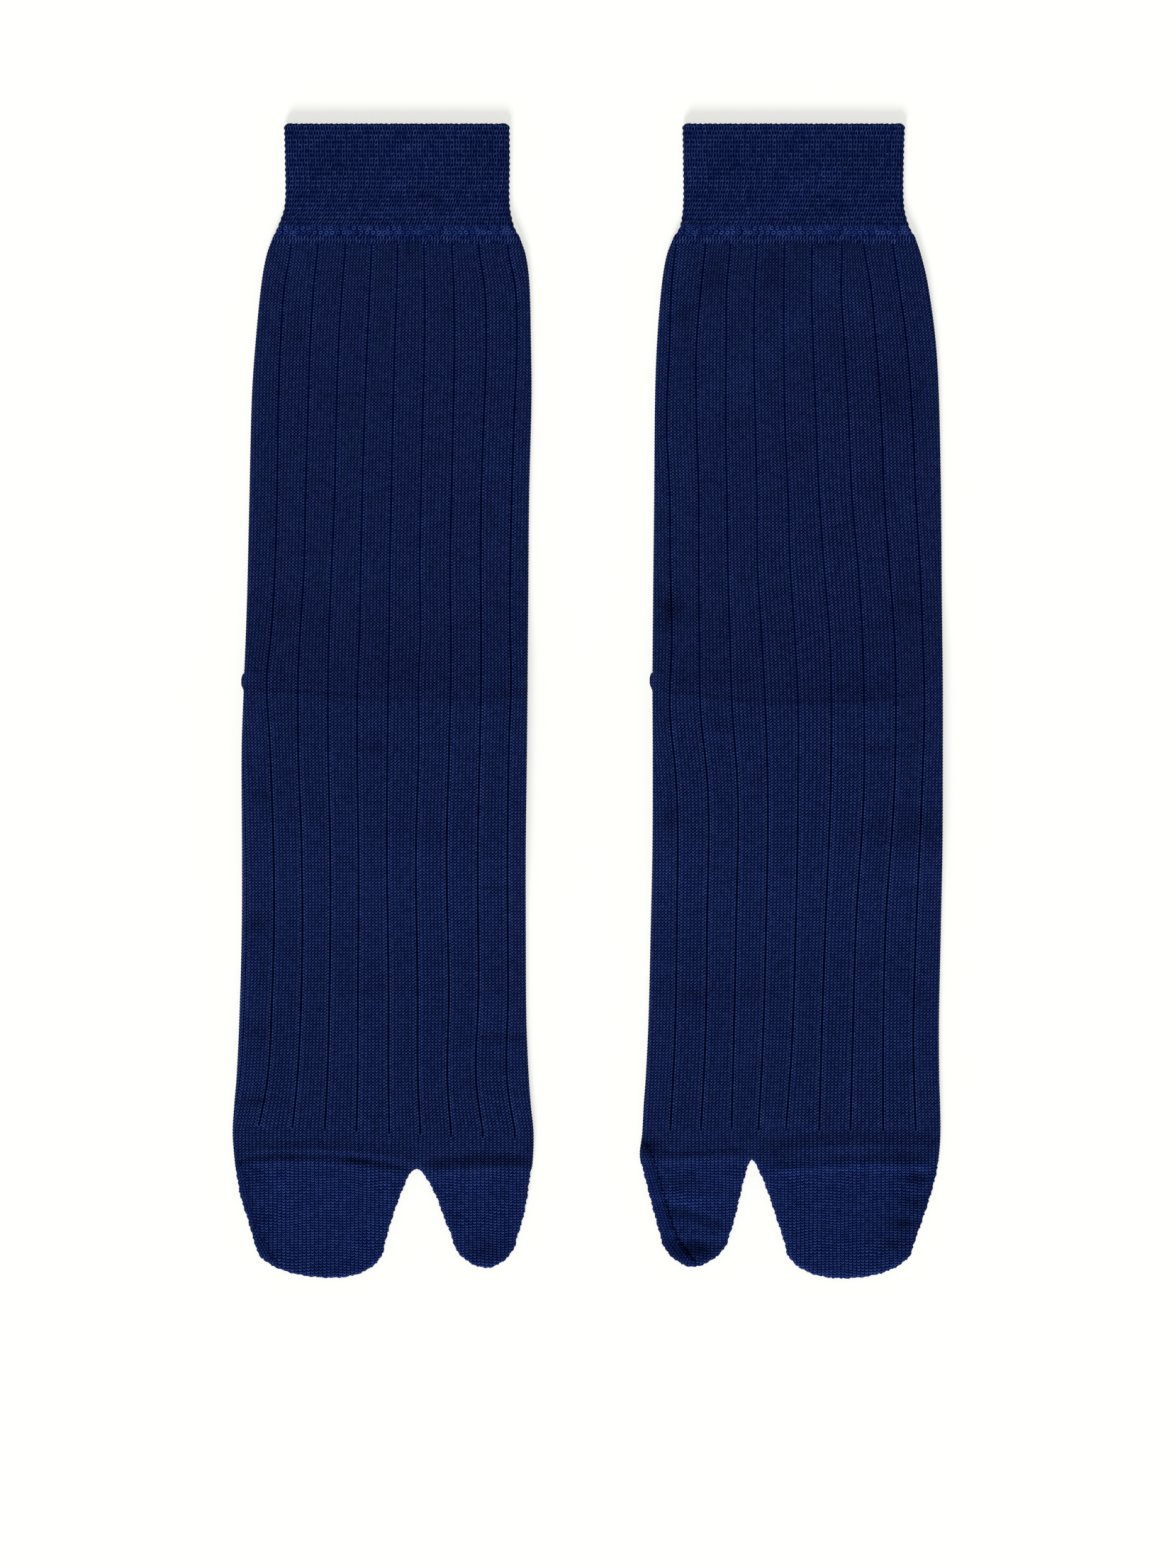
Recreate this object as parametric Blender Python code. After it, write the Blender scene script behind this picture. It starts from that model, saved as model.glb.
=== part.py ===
"""A pair of knitted tabi socks, laid flat side by side with the instep up.

Each sock is a knitted tube lying on a table. Its cloth is a real wall, open at the mouth, with a
gap between the upper and the lower layer and rounded folds along both sides. The toe is split into
a big-toe lobe and a wide lobe. Three solids make one sock: the cuff, the sock itself (leg, foot and
toes, knitted in one) and the heel pouch, which lies folded flat beneath the foot.

Sizes are in millimetres and are turned into metres where the meshes are made. "Down" is the
distance from the cuff's upper edge towards the toes. "Across" runs from the left edge of a sock (0)
to its right edge (1), seen from above. +Y points to the cuffs, and the socks lie on z = 0.
"""

import math
from collections import namedtuple

import bmesh
import bpy
import numpy as np
from mathutils import Matrix

MM = 0.001

# Cloth: the upper layer carries the ribs, the lower one lies flat on the table.
LOWER_WALL = 1.0
UPPER_WALL = 1.4
LAYER_GAP = 0.6
FOLD_RADIUS = 1.5
SEAM_GAP = 0.3
SOCK_HEIGHT = LOWER_WALL + LAYER_GAP + UPPER_WALL

# Ribs: one purl wale, sunk into the upper wall, between each two bands of plain knit.
GROOVES = 9
GROOVE_WIDTH = 1.3
GROOVE_DEPTH = 0.4
RIB_CROWN = 0.15

# Cuff
CUFF_DEPTH = 37.4
CUFF_WALL = 1.2
CUFF_GAP = 0.8
CUFF_EDGE_LIFT = 0.5
CUFF_LIFT_REACH = 18.0
CUFF_HEIGHT = LOWER_WALL + CUFF_GAP + CUFF_WALL

# Heel pouch, and how the foot rises over it
HEEL_THICKNESS = 2.2
HEEL_LENGTH = 45.0
HEEL_END_WIDTH = 62.0
HEEL_CORNER = 12.0
HEEL_NOTCH = 0.7
HEEL_EAR = 0.9
HEEL_FLARE = 18.0
HEEL_SETBACK = 0.5
EAR_TURN = 5.5
EAR_REACH = 0.06
# Points round the ear: how far out from the sock's edge, how much of the ear is added, how far below the crest.
EAR_POINTS = ((-2.2, 0.0, 0.5), (0.0, 0.4, 0.6), (0.0, 1.0, 2.2), (0.0, 1.0, 4.4), (-0.4, 0.0, 7.5))
LIFT = HEEL_THICKNESS + SEAM_GAP
RISE_LENGTH = 32.0
RISE_POWER = 1.3
FALL_LENGTH = 40.0

# How many columns, rows and points the meshes have
BIG_TOE_COLUMNS = 3
WIDE_TOE_COLUMNS = 6
LOBE_ROWS = 6
ARC_STEPS = 4
HEEL_CORNER_STEPS = 5
UPPER_EDGE_STEPS = (0.93, 0.8, 0.65, 0.5, 0.35, 0.2, 0.07)
POINTS_PER_SPAN = 10
TIP_ANGLES = (22.5, 45.0, 67.5, 90.0, 112.5, 135.0, 157.5)
TIP_CORNERS = (1, 5)

# One section across a sock: its edges and the first, middle and last rib groove, from its centre line.
Section = namedtuple("Section", "down left right first middle last")
# One section across a toe lobe.
Lobe = namedtuple("Lobe", "sections tip_x tip_down roundness")
Edges = namedtuple("Edges", "down left right")
# A line across a sock, by how far down it is at the left edge, in the middle and at the right edge.
Line = namedtuple("Line", "left middle right")
Sock = namedtuple(
    "Sock", "centre_x cuff sections crest toe_line first_lobe crotch second_lobe columns"
)

LEFT = Sock(
    centre_x=-66.4,
    cuff=(
        Edges(0.0, -35.1, 40.1),
        Edges(12.0, -34.8, 40.2),
        Edges(27.0, -34.9, 40.2),
        Edges(34.3, -37.2, 41.7),
        Edges(CUFF_DEPTH, -38.7, 43.4),
    ),
    sections=(
        Section(CUFF_DEPTH + SEAM_GAP, -38.9, 43.6, -33.0, 2.8, 39.7),
        Section(43.8, -41.0, 45.6, -33.2, 2.7, 40.7),
        Section(53.2, -42.7, 46.8, -34.8, 2.6, 41.9),
        Section(72.1, -44.6, 47.3, -36.2, 1.9, 42.6),
        Section(91.1, -45.9, 47.5, -36.9, 1.3, 42.1),
        Section(124.2, -46.7, 46.7, -37.4, 0.7, 40.9),
        Section(162.0, -47.6, 46.4, -38.8, 0.1, 40.4),
        Section(188.0, -48.5, 46.2, -40.9, -0.2, 40.7),
        Section(209.3, -49.2, 46.0, -39.7, -0.5, 40.0),
        Section(242.4, -49.1, 45.6, -38.6, -0.7, 39.5),
        Section(270.8, -49.3, 45.6, -38.6, -0.5, 39.7),
        Section(299.2, -50.1, 45.8, -39.3, -0.3, 39.7),
        Section(318.1, -51.0, 46.6, -40.7, -0.2, 39.7),
        Section(327.6, -51.8, 47.3, -42.2, 0.0, 40.1),
        Section(337.0, -52.3, 48.2, -43.8, 0.1, 42.1),
        Section(347.3, -51.5, 47.8, -43.8, 0.1, 42.1),
    ),
    toe_line=Line(333.9, 336.6, 338.8),
    crest=Line(188.3, 190.8, 190.6),
    first_lobe=Lobe(
        sections=(
            Edges(350.2, -51.0, 7.0),
            Edges(357.8, -49.7, 3.6),
            Edges(365.4, -47.3, 0.9),
            Edges(373.0, -45.1, -1.3),
        ),
        tip_x=-18.7,
        tip_down=385.1,
        roundness=2.1,
    ),
    crotch=(9.2, 348.8),
    second_lobe=Lobe(
        sections=(
            Edges(350.2, 11.3, 47.1),
            Edges(357.8, 15.6, 46.1),
            Edges(365.4, 18.4, 44.6),
            Edges(371.5, 20.9, 42.7),
        ),
        tip_x=32.4,
        tip_down=381.8,
        roundness=1.75,
    ),
    columns=(WIDE_TOE_COLUMNS, BIG_TOE_COLUMNS),
)

RIGHT = Sock(
    centre_x=69.9,
    cuff=(
        Edges(0.0, -38.4, 35.8),
        Edges(12.0, -38.2, 35.4),
        Edges(27.0, -38.2, 35.5),
        Edges(34.3, -39.3, 37.3),
        Edges(CUFF_DEPTH, -41.2, 39.1),
    ),
    sections=(
        Section(CUFF_DEPTH + SEAM_GAP, -41.4, 39.3, -39.7, -4.4, 31.2),
        Section(43.8, -43.7, 41.3, -40.8, -4.4, 32.0),
        Section(53.2, -45.3, 43.5, -41.6, -4.5, 33.7),
        Section(72.1, -46.9, 46.1, -42.5, -4.6, 36.3),
        Section(91.1, -47.6, 47.2, -42.9, -4.5, 37.9),
        Section(124.2, -47.9, 47.9, -42.7, -3.2, 39.4),
        Section(162.0, -48.3, 48.2, -42.1, -1.1, 41.4),
        Section(188.0, -48.5, 48.4, -42.7, 0.1, 42.2),
        Section(209.3, -48.4, 48.4, -40.7, 0.2, 41.7),
        Section(242.4, -48.5, 48.3, -39.9, 0.1, 40.8),
        Section(270.8, -49.1, 47.8, -40.2, -0.4, 39.9),
        Section(299.2, -49.8, 47.2, -40.7, -1.1, 38.8),
        Section(318.1, -50.7, 47.3, -41.3, -1.9, 38.5),
        Section(327.6, -51.4, 47.6, -41.6, -3.1, 38.8),
        Section(337.0, -51.9, 47.7, -42.6, -3.9, 39.5),
        Section(344.3, -52.7, 47.2, -42.6, -3.9, 39.5),
    ),
    toe_line=Line(334.5, 334.0, 334.6),
    crest=Line(188.0, 193.9, 188.6),
    first_lobe=Lobe(
        sections=(
            Edges(350.2, -51.3, -17.3),
            Edges(357.8, -49.4, -19.2),
            Edges(365.4, -47.4, -21.0),
            Edges(371.5, -45.7, -22.9),
        ),
        tip_x=-35.1,
        tip_down=381.5,
        roundness=1.65,
    ),
    crotch=(-15.3, 345.7),
    second_lobe=Lobe(
        sections=(
            Edges(350.2, -12.5, 46.3),
            Edges(357.8, -9.5, 44.3),
            Edges(365.4, -7.0, 41.8),
            Edges(373.0, -4.5, 39.1),
        ),
        tip_x=14.8,
        tip_down=385.3,
        roundness=2.1,
    ),
    columns=(BIG_TOE_COLUMNS, WIDE_TOE_COLUMNS),
)

# Rows across a sock's body. Those over the heel are set from the crest line.
LEG_ROWS = (43.8, 53.2, 64.0, 78.0, 96.0, 117.0, 138.0)
RISE_ROWS = (-1.0, -0.6, -0.35, -0.15, 0.0)
POUCH_ROWS = (2.5, 16.0, 31.0)
FALL_ROWS = (0.0, 0.25, 0.5, 0.75, 1.0)
FOOT_ROWS = (286.0, 300.0, 314.0, 325.0)
GROOVE_END = 2.0

# The crease across the toes: rows between the toe line and the split, by share of the way, and their height.
CREASE_ROWS = ((0.38, -0.35), (0.72, 0.25))

# The heel pouch's layered edge, from its underside up: how far in, and how high as a share of its thickness.
HEEL_RINGS = ((0.5, 0.0), (0.0, 0.16), (0.0, 0.36), (HEEL_NOTCH, 0.5), (0.0, 0.64), (0.0, 0.84), (0.5, 1.0))

NAVY = (0.0068, 0.0118, 0.0545, 1.0)
NAVY_CUFF = (0.0062, 0.0112, 0.0560, 1.0)
NAVY_HEEL = (0.0072, 0.0124, 0.0570, 1.0)


# ---------- Small geometry helpers ----------


def smooth_step(t):
    t = min(max(t, 0.0), 1.0)
    return t * t * (3 - 2 * t)


def table_value(rows, column, down):
    """A column of a table of sections at any depth, as a smooth curve through its rows."""
    downs = [row.down for row in rows]
    values = [getattr(row, column) for row in rows]
    slopes = np.gradient(values, downs)
    i = min(max(int(np.searchsorted(downs, down)) - 1, 0), len(downs) - 2)
    span = downs[i + 1] - downs[i]
    t = min(max((down - downs[i]) / span, 0.0), 1.0)
    start = values[i] * (1 + 2 * t) * (1 - t) ** 2 + slopes[i] * span * t * (1 - t) ** 2
    end = values[i + 1] * t * t * (3 - 2 * t) - slopes[i + 1] * span * t * t * (1 - t)
    return start + end


def line_down(line, across):
    """How far down a line across the sock is: a parabola through its three values."""
    from_middle = 2 * across - 1
    tilt = (line.right - line.left) / 2
    bow = (line.right + line.left) / 2 - line.middle
    return line.middle + tilt * from_middle + bow * from_middle**2


def crest_down(sock, across):
    """Where the foot is highest over the pouch: its line turns up to the cuff at both edges."""
    turn = math.exp(-((across / EAR_REACH) ** 2)) + math.exp(-(((1 - across) / EAR_REACH) ** 2))
    return line_down(sock.crest, across) - EAR_TURN * turn


def curve_through(points):
    """A smooth curve through 2D points, with POINTS_PER_SPAN steps from each to the next."""
    p = np.array(points, float)
    p = np.vstack([2 * p[0] - p[1], p, 2 * p[-1] - p[-2]])
    gaps = np.linalg.norm(np.diff(p, axis=0), axis=1)
    steps = np.linspace(0, 1, POINTS_PER_SPAN, endpoint=False)[:, None]
    spans = []
    for i in range(1, len(p) - 2):
        leaving = (p[i + 1] - p[i - 1]) * gaps[i] / (gaps[i] + gaps[i - 1])
        arriving = (p[i + 2] - p[i]) * gaps[i] / (gaps[i] + gaps[i + 1])
        spans.append(
            p[i] * (1 + 2 * steps) * (1 - steps) ** 2
            + leaving * steps * (1 - steps) ** 2
            + p[i + 1] * steps**2 * (3 - 2 * steps)
            - arriving * steps**2 * (1 - steps)
        )
    return np.vstack([*spans, p[-2:-1]])


class Curve:
    """A smooth plan curve with outward normals, read at a place given in control points."""

    def __init__(self, controls):
        self.points = curve_through(controls)
        tangents = np.gradient(self.points, axis=0)
        tangents /= np.linalg.norm(tangents, axis=1)[:, None]
        self.normals = np.stack([tangents[:, 1], -tangents[:, 0]], axis=1)
        for end in (0, -1):  # the cut ends are level rows
            self.normals[end] = (math.copysign(1.0, self.normals[end][0]), 0.0)
        steps = np.linalg.norm(np.diff(self.points, axis=0), axis=1)
        self.along = np.concatenate([[0.0], np.cumsum(steps)])
        self.places = np.arange(len(self.points)) / POINTS_PER_SPAN

    def _read(self, table, place):
        return np.array([np.interp(place, self.places, table[:, axis]) for axis in (0, 1)])

    def inset(self, place, distance=0.0):
        """The point this far inside the curve, towards its left-hand side."""
        return self._read(self.points, place) - distance * self._read(self.normals, place)

    def where_down(self, down, first, last):
        """The place between two control points where the curve is this far down."""
        chosen = (self.places >= first) & (self.places <= last)
        downs, places = -self.points[chosen, 1], self.places[chosen]
        order = np.argsort(downs)
        return float(np.interp(down, downs[order], places[order]))

    def evenly(self, first, last, count):
        """count + 1 places at equal steps along the curve, from one place to another."""
        ends = np.interp([first, last], self.places, self.along)
        return np.interp(np.linspace(*ends, count + 1), self.along, self.places)


def tip_controls(lobe):
    """The rounded end of a toe lobe, as the two halves of a superellipse on its last section."""
    base = lobe.sections[-1]
    depth = lobe.tip_down - base.down
    controls = []
    for angle in TIP_ANGLES:
        turn = math.radians(angle)
        reach = abs(math.cos(turn)) ** (2 / lobe.roundness)
        end = base.left if angle < 90 else base.right
        x = lobe.tip_x + (end - lobe.tip_x) * reach
        controls.append((x, -base.down - depth * math.sin(turn) ** (2 / lobe.roundness)))
    return controls


def patch(top, bottom, left, right):
    """A grid of plan points between four rows that meet at their ends (a Coons patch)."""
    rows = []
    for j in range(len(left)):
        v = j / (len(left) - 1)
        row = []
        for i in range(len(top)):
            u = i / (len(top) - 1)
            sides = (1 - u) * left[j] + u * right[j] + (1 - v) * top[i] + v * bottom[i]
            corners = (1 - v) * ((1 - u) * top[0] + u * top[-1]) + v * ((1 - u) * bottom[0] + u * bottom[-1])
            row.append(sides - corners)
        rows.append(row)
    return rows


# ---------- Meshes ----------


class Cloth:
    """A mesh in the making, in one sock's own plan coordinates."""

    def __init__(self, centre_x):
        self.mesh = bmesh.new()
        self.centre_x = centre_x

    def point(self, plan, height):
        x, y = plan
        return self.mesh.verts.new(((x + self.centre_x) * MM, y * MM, height * MM))

    def quads(self, rows):
        """Faces between neighbouring rows of vertices of the same length."""
        for upper, lower in zip(rows, rows[1:]):
            for i in range(len(upper) - 1):
                self.mesh.faces.new((upper[i], upper[i + 1], lower[i + 1], lower[i]))

    def zipped(self, first, second):
        """Triangles between two rows of vertices that start and end side by side."""
        shares = []
        for row in (first, second):
            steps = [(b.co - a.co).length for a, b in zip(row, row[1:])]
            shares.append(np.concatenate([[0.0], np.cumsum(steps) / sum(steps)]))
        i = j = 0
        while i < len(first) - 1 or j < len(second) - 1:
            more_first = i < len(first) - 1
            more_second = j < len(second) - 1
            if more_first and (not more_second or shares[0][i + 1] <= shares[1][j + 1]):
                self.mesh.faces.new((first[i], first[i + 1], second[j]))
                i += 1
            else:
                self.mesh.faces.new((first[i], second[j + 1], second[j]))
                j += 1

    def fold(self, curve, place, upper, lower):
        """A rounded side fold: the vertices from the upper layer round to the lower one."""
        top, bottom = upper.co.z / MM, lower.co.z / MM
        arc = [upper]
        for step in range(1, ARC_STEPS):
            turn = math.pi * step / ARC_STEPS
            plan = curve.inset(place, FOLD_RADIUS * (1 - math.sin(turn)))
            arc.append(self.point(plan, (top + bottom) / 2 + (top - bottom) / 2 * math.cos(turn)))
        return [*arc, lower]

    def finish(self, name, material, collection):
        bmesh.ops.recalc_face_normals(self.mesh, faces=self.mesh.faces)
        mesh = bpy.data.meshes.new(name)
        self.mesh.to_mesh(mesh)
        self.mesh.free()
        mesh.materials.append(material)
        mesh.shade_smooth()
        mesh.set_sharp_from_angle(angle=math.radians(50))
        made = bpy.data.objects.new(name, mesh)
        collection.objects.link(made)
        return made


def knit_material(name, colour):
    material = bpy.data.materials.new(name)
    material.use_nodes = True
    shader = material.node_tree.nodes["Principled BSDF"]
    shader.inputs["Base Color"].default_value = colour
    shader.inputs["Roughness"].default_value = 0.9
    shader.inputs["Metallic"].default_value = 0.0
    material.diffuse_color = colour
    return material


# ---------- The sock ----------


def foot_lift(sock, down, across):
    """How high the tube's underside is: it climbs to the crest over the pouch and falls behind it."""
    past_crest = down - crest_down(sock, across)
    if past_crest <= 0:
        return LIFT * max(0.0, 1 + past_crest / RISE_LENGTH) ** RISE_POWER
    return LIFT * (1 - smooth_step((past_crest - HEEL_LENGTH - SEAM_GAP) / FALL_LENGTH))


def body_rows(sock):
    """Every row across the body, as a function of across, and the height of its crease."""
    last = sock.sections[-1].down

    def level(down):
        return lambda across: down

    def by_crest(offset):
        return lambda across: crest_down(sock, across) + offset

    def by_toe_line(share, offset=0.0):
        return lambda across: line_down(sock.toe_line, across) * (1 - share) + last * share + offset

    rows = [(level(sock.sections[0].down), 0.0)]
    rows += [(level(down), 0.0) for down in LEG_ROWS]
    rows += [(by_crest(step * RISE_LENGTH), 0.0) for step in RISE_ROWS]
    rows += [(by_crest(step), 0.0) for step in POUCH_ROWS]
    rows += [(by_crest(HEEL_LENGTH + SEAM_GAP + step * FALL_LENGTH), 0.0) for step in FALL_ROWS]
    rows += [(level(down), 0.0) for down in FOOT_ROWS]
    rows += [(by_toe_line(0.0, -GROOVE_END), 0.0), (by_toe_line(0.0), 0.0)]
    ribbed = len(rows)
    rows += [(by_toe_line(share), height) for share, height in CREASE_ROWS]
    rows.append((level(last), 0.0))
    return rows, ribbed


def sock_outline(sock):
    """The outline from the mouth's left side round the toes to its right side, and its named places."""
    left = [(s.left, -s.down) for s in sock.sections]
    first, second = sock.first_lobe, sock.second_lobe
    parts = (
        left,
        [(s.left, -s.down) for s in first.sections],
        tip_controls(first),
        [(s.right, -s.down) for s in reversed(first.sections)],
        [(sock.crotch[0], -sock.crotch[1])],
        [(s.left, -s.down) for s in second.sections],
        tip_controls(second),
        [(s.right, -s.down) for s in reversed(second.sections)],
        [(s.right, -s.down) for s in reversed(sock.sections)],
    )
    starts = np.concatenate([[0], np.cumsum([len(part) for part in parts])])
    outline = Curve([point for part in parts for point in part])
    places = dict(
        base_left=starts[1] - 1,
        first_corners=[starts[2] + corner for corner in TIP_CORNERS],
        crotch=starts[4],
        second_corners=[starts[6] + corner for corner in TIP_CORNERS],
        base_right=starts[8],
        end=starts[9] - 1,
    )
    return outline, places


def rib_columns(sock, down, left_x, right_x):
    """One row of the ribbed upper layer: each point's x and how far it is raised."""
    first, middle, last = (table_value(sock.sections, name, down) for name in ("first", "middle", "last"))
    columns = [(left_x, 0.0)]
    before = left_x
    for groove in range(GROOVES):
        t = 2 * groove / (GROOVES - 1) - 1
        x = middle + (last - first) / 2 * t + ((first + last) / 2 - middle) * t * t
        shoulder = x - GROOVE_WIDTH / 2
        columns.append(((before + shoulder) / 2, RIB_CROWN))
        columns += [(shoulder, 0.0), (x, -GROOVE_DEPTH), (x + GROOVE_WIDTH / 2, 0.0)]
        before = x + GROOVE_WIDTH / 2
    columns += [((before + right_x) / 2, RIB_CROWN), (right_x, 0.0)]
    return columns


def plan_grids(sock, outline, places):
    """The plan of a plain layer: the body's rows, then the first and the second toe lobe."""
    first_count, second_count = sock.columns
    count = first_count + second_count
    base = sock.sections[-1]
    split = (sock.crotch[0] - base.left) / (base.right - base.left)
    across = [split * i / first_count for i in range(first_count)]
    across += [split + (1 - split) * i / second_count for i in range(second_count + 1)]
    rows, ribbed = body_rows(sock)
    body, left_places, right_places = [], [], []
    for row, _ in rows:
        left_places.append(outline.where_down(row(0.0), 0, places["base_left"]))
        right_places.append(outline.where_down(row(1.0), places["base_right"], places["end"]))
        left = outline.inset(left_places[-1], FOLD_RADIUS)
        right = outline.inset(right_places[-1], FOLD_RADIUS)
        inner = [np.array((left[0] + (right[0] - left[0]) * a, -row(a))) for a in across[1:-1]]
        body.append([left, *inner, right])
    body[-1][first_count] = outline.inset(places["crotch"], FOLD_RADIUS)

    def side(start, end):
        return list(outline.evenly(start, end, LOBE_ROWS))

    def lobe(top, corners, left_start, right_start, columns):
        sides = side(left_start, corners[0]), side(right_start, corners[1])
        tip = list(outline.evenly(*corners, columns))
        left, right, bottom = ([outline.inset(p, FOLD_RADIUS) for p in run] for run in (*sides, tip))
        left[0], right[0] = top[0], top[-1]
        return patch(top, bottom, left, right), sides, tip

    crotch = places["crotch"]
    tops = body[-1][: first_count + 1], body[-1][first_count:]
    lobes = (
        lobe(tops[0], places["first_corners"], left_places[-1], crotch, first_count),
        lobe(tops[1], places["second_corners"], crotch, right_places[-1], second_count),
    )
    return dict(
        rows=rows,
        ribbed=ribbed,
        across=across,
        count=count,
        body=body,
        left_places=left_places,
        right_places=right_places,
        lobes=lobes,
    )


def build_sock(sock, side, material, collection):
    outline, places = sock_outline(sock)
    plan = plan_grids(sock, outline, places)
    first_count = sock.columns[0]
    cloth = Cloth(sock.centre_x)
    rows, ribbed, across = plan["rows"], plan["ribbed"], plan["across"]

    def plain_sheet(base_height, creased, start=0):
        """Vertices of one plain layer as body rows and two lobes, which share the split's row."""
        body = []
        for j, (row, crease) in enumerate(rows):
            if j < start:
                body.append(None)
                continue
            made = []
            for i, point in enumerate(plan["body"][j]):
                edge = i in (0, len(across) - 1)
                bump = crease if creased and not edge else 0.0
                height = base_height + foot_lift(sock, row(across[i]), across[i]) + bump
                made.append(cloth.point(point, height))
            body.append(made)
        lobes = []
        shared_rows = body[-1][: first_count + 1], body[-1][first_count:]
        for shared, (grid, _, _) in zip(shared_rows, plan["lobes"]):
            lobes.append([shared] + [[cloth.point(point, base_height) for point in line] for line in grid[1:]])
        return body, lobes

    def close_sheet(body, lobes):
        cloth.quads([row for row in body if row])
        for lobe in lobes:
            cloth.quads(lobe)

    # The ribbed upper surface, down to the toe line
    ribs = []
    for j in range(ribbed):
        left, right = plan["body"][j][0], plan["body"][j][-1]
        row = rows[j][0]
        middle_down = row(0.5)
        made = []
        columns = rib_columns(sock, middle_down, left[0], right[0])
        for k, (x, raised) in enumerate(columns):
            a = (x - left[0]) / (right[0] - left[0])
            y = left[1] if k == 0 else right[1] if k == len(columns) - 1 else -row(a)
            at_end = j == ribbed - 1
            height = SOCK_HEIGHT + foot_lift(sock, row(a), a) + (0.0 if at_end else raised)
            made.append(cloth.point((x, y), height))
        ribs.append(made)
    cloth.quads(ribs)

    top = plain_sheet(SOCK_HEIGHT, True, start=ribbed)
    under = plain_sheet(0.0, False)
    inner_top = plain_sheet(SOCK_HEIGHT - UPPER_WALL, True)
    inner_under = plain_sheet(LOWER_WALL, False)
    close_sheet(*top)
    close_sheet(*under)
    close_sheet(*inner_top)
    close_sheet(*inner_under)
    cloth.zipped(ribs[-1], top[0][ribbed])
    for j in range(ribbed):
        top[0][j] = [ribs[j][0], ribs[j][-1]]

    def edge_vertices(sheet):
        """The sheet's vertices along the outline, in the outline's order."""
        body, (first, second) = sheet
        run = [row[0] for row in body]
        run += [line[0] for line in first[1:]] + first[-1][1:-1]
        run += [line[-1] for line in reversed(first)]
        run += [line[0] for line in second[1:]] + second[-1][1:-1]
        run += [line[-1] for line in reversed(second[1:])]
        return run + [row[-1] for row in reversed(body)]

    def edge_places():
        run = list(plan["left_places"])
        for _, (left, right), tip in plan["lobes"]:
            run += [*left[1:], *tip[1:-1], *reversed(right)]
        return run[:-1] + list(reversed(plan["right_places"]))

    stops = edge_places()
    folds = [
        cloth.fold(outline, place, upper, lower)
        for place, upper, lower in zip(stops, edge_vertices(top), edge_vertices(under))
    ]
    cloth.quads(folds)
    inner_folds = [list(pair) for pair in zip(edge_vertices(inner_top), edge_vertices(inner_under))]
    cloth.quads(inner_folds)

    # The cut end beside the cuff
    cloth.zipped(ribs[0], inner_top[0][0])
    cloth.zipped(under[0][0], inner_under[0][0])
    cloth.zipped(folds[0], inner_folds[0])
    cloth.zipped(folds[-1], inner_folds[-1])
    return cloth.finish(f"sock_{side}", material, collection)


# ---------- The cuff ----------


def build_cuff(sock, side, material, collection):
    """A short tube, open at both ends, whose upper layer stands off a little at the mouth."""
    cloth = Cloth(sock.centre_x)
    controls = [(s.left, -s.down) for s in sock.cuff], [(s.right, -s.down) for s in reversed(sock.cuff)]
    left, right = (Curve(run) for run in controls)
    count = sum(sock.columns)
    layers = {name: [] for name in ("top", "under", "inner_top", "inner_under")}
    folds = [], []
    for k, section in enumerate(sock.cuff):
        places = k, len(sock.cuff) - 1 - k
        ends = left.inset(places[0], FOLD_RADIUS), right.inset(places[1], FOLD_RADIUS)
        lift = CUFF_EDGE_LIFT * (1 - smooth_step(section.down / CUFF_LIFT_REACH))
        heights = dict(
            top=CUFF_HEIGHT + lift,
            under=0.0,
            inner_top=CUFF_HEIGHT - CUFF_WALL + lift,
            inner_under=LOWER_WALL,
        )
        for name, height in heights.items():
            layers[name].append(
                [cloth.point(ends[0] + (ends[1] - ends[0]) * i / count, height) for i in range(count + 1)]
            )
        for i, (curve, place, column) in enumerate(((left, places[0], 0), (right, places[1], -1))):
            upper, lower = layers["top"][-1][column], layers["under"][-1][column]
            folds[i].append(cloth.fold(curve, place, upper, lower))
    for rows in (*layers.values(), *folds):
        cloth.quads(rows)
    for column in (0, -1):
        pairs = zip(layers["inner_top"], layers["inner_under"])
        cloth.quads([[upper[column], lower[column]] for upper, lower in pairs])
    for end in (0, -1):
        cloth.zipped(layers["top"][end], layers["inner_top"][end])
        cloth.zipped(layers["under"][end], layers["inner_under"][end])
        for i, column in enumerate((0, -1)):
            inner = [layers["inner_top"][end][column], layers["inner_under"][end][column]]
            cloth.zipped(folds[i][end], inner)
    return cloth.finish(f"cuff_{side}", material, collection)


# ---------- The heel pouch ----------


def heel_side(half_width, ear, top, bottom):
    """One side of the pouch from its upper edge down, as (distance from the middle, down)."""
    side = [(half_width + out + ear * share, top + below) for out, share, below in EAR_POINTS]
    corner_x = HEEL_END_WIDTH / 2 - HEEL_CORNER
    for step in range(HEEL_CORNER_STEPS + 1):
        turn = math.radians(HEEL_FLARE + (90 - HEEL_FLARE) * step / HEEL_CORNER_STEPS)
        side.append((corner_x + HEEL_CORNER * math.cos(turn), bottom - HEEL_CORNER * (1 - math.sin(turn))))
    return side


def heel_controls(sock):
    """The pouch's outline, anticlockwise from the left end of its upper edge. Its left corner shows."""
    left = table_value(sock.sections, "left", sock.crest.left)
    right = table_value(sock.sections, "right", sock.crest.right)
    middle, half_width = (left + right) / 2, (right - left) / 2
    bottom = sock.crest.middle + HEEL_LENGTH
    down_left = heel_side(half_width, HEEL_EAR, crest_down(sock, 0.0), bottom)
    up_right = heel_side(half_width, 0.0, crest_down(sock, 1.0), bottom)
    outline = [(middle - x, down) for x, down in down_left]
    outline += [(middle + x, down) for x, down in reversed(up_right)]
    outline += [(left + (right - left) * a, crest_down(sock, a) + HEEL_SETBACK) for a in UPPER_EDGE_STEPS]
    return [(x, -down) for x, down in outline]


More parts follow.
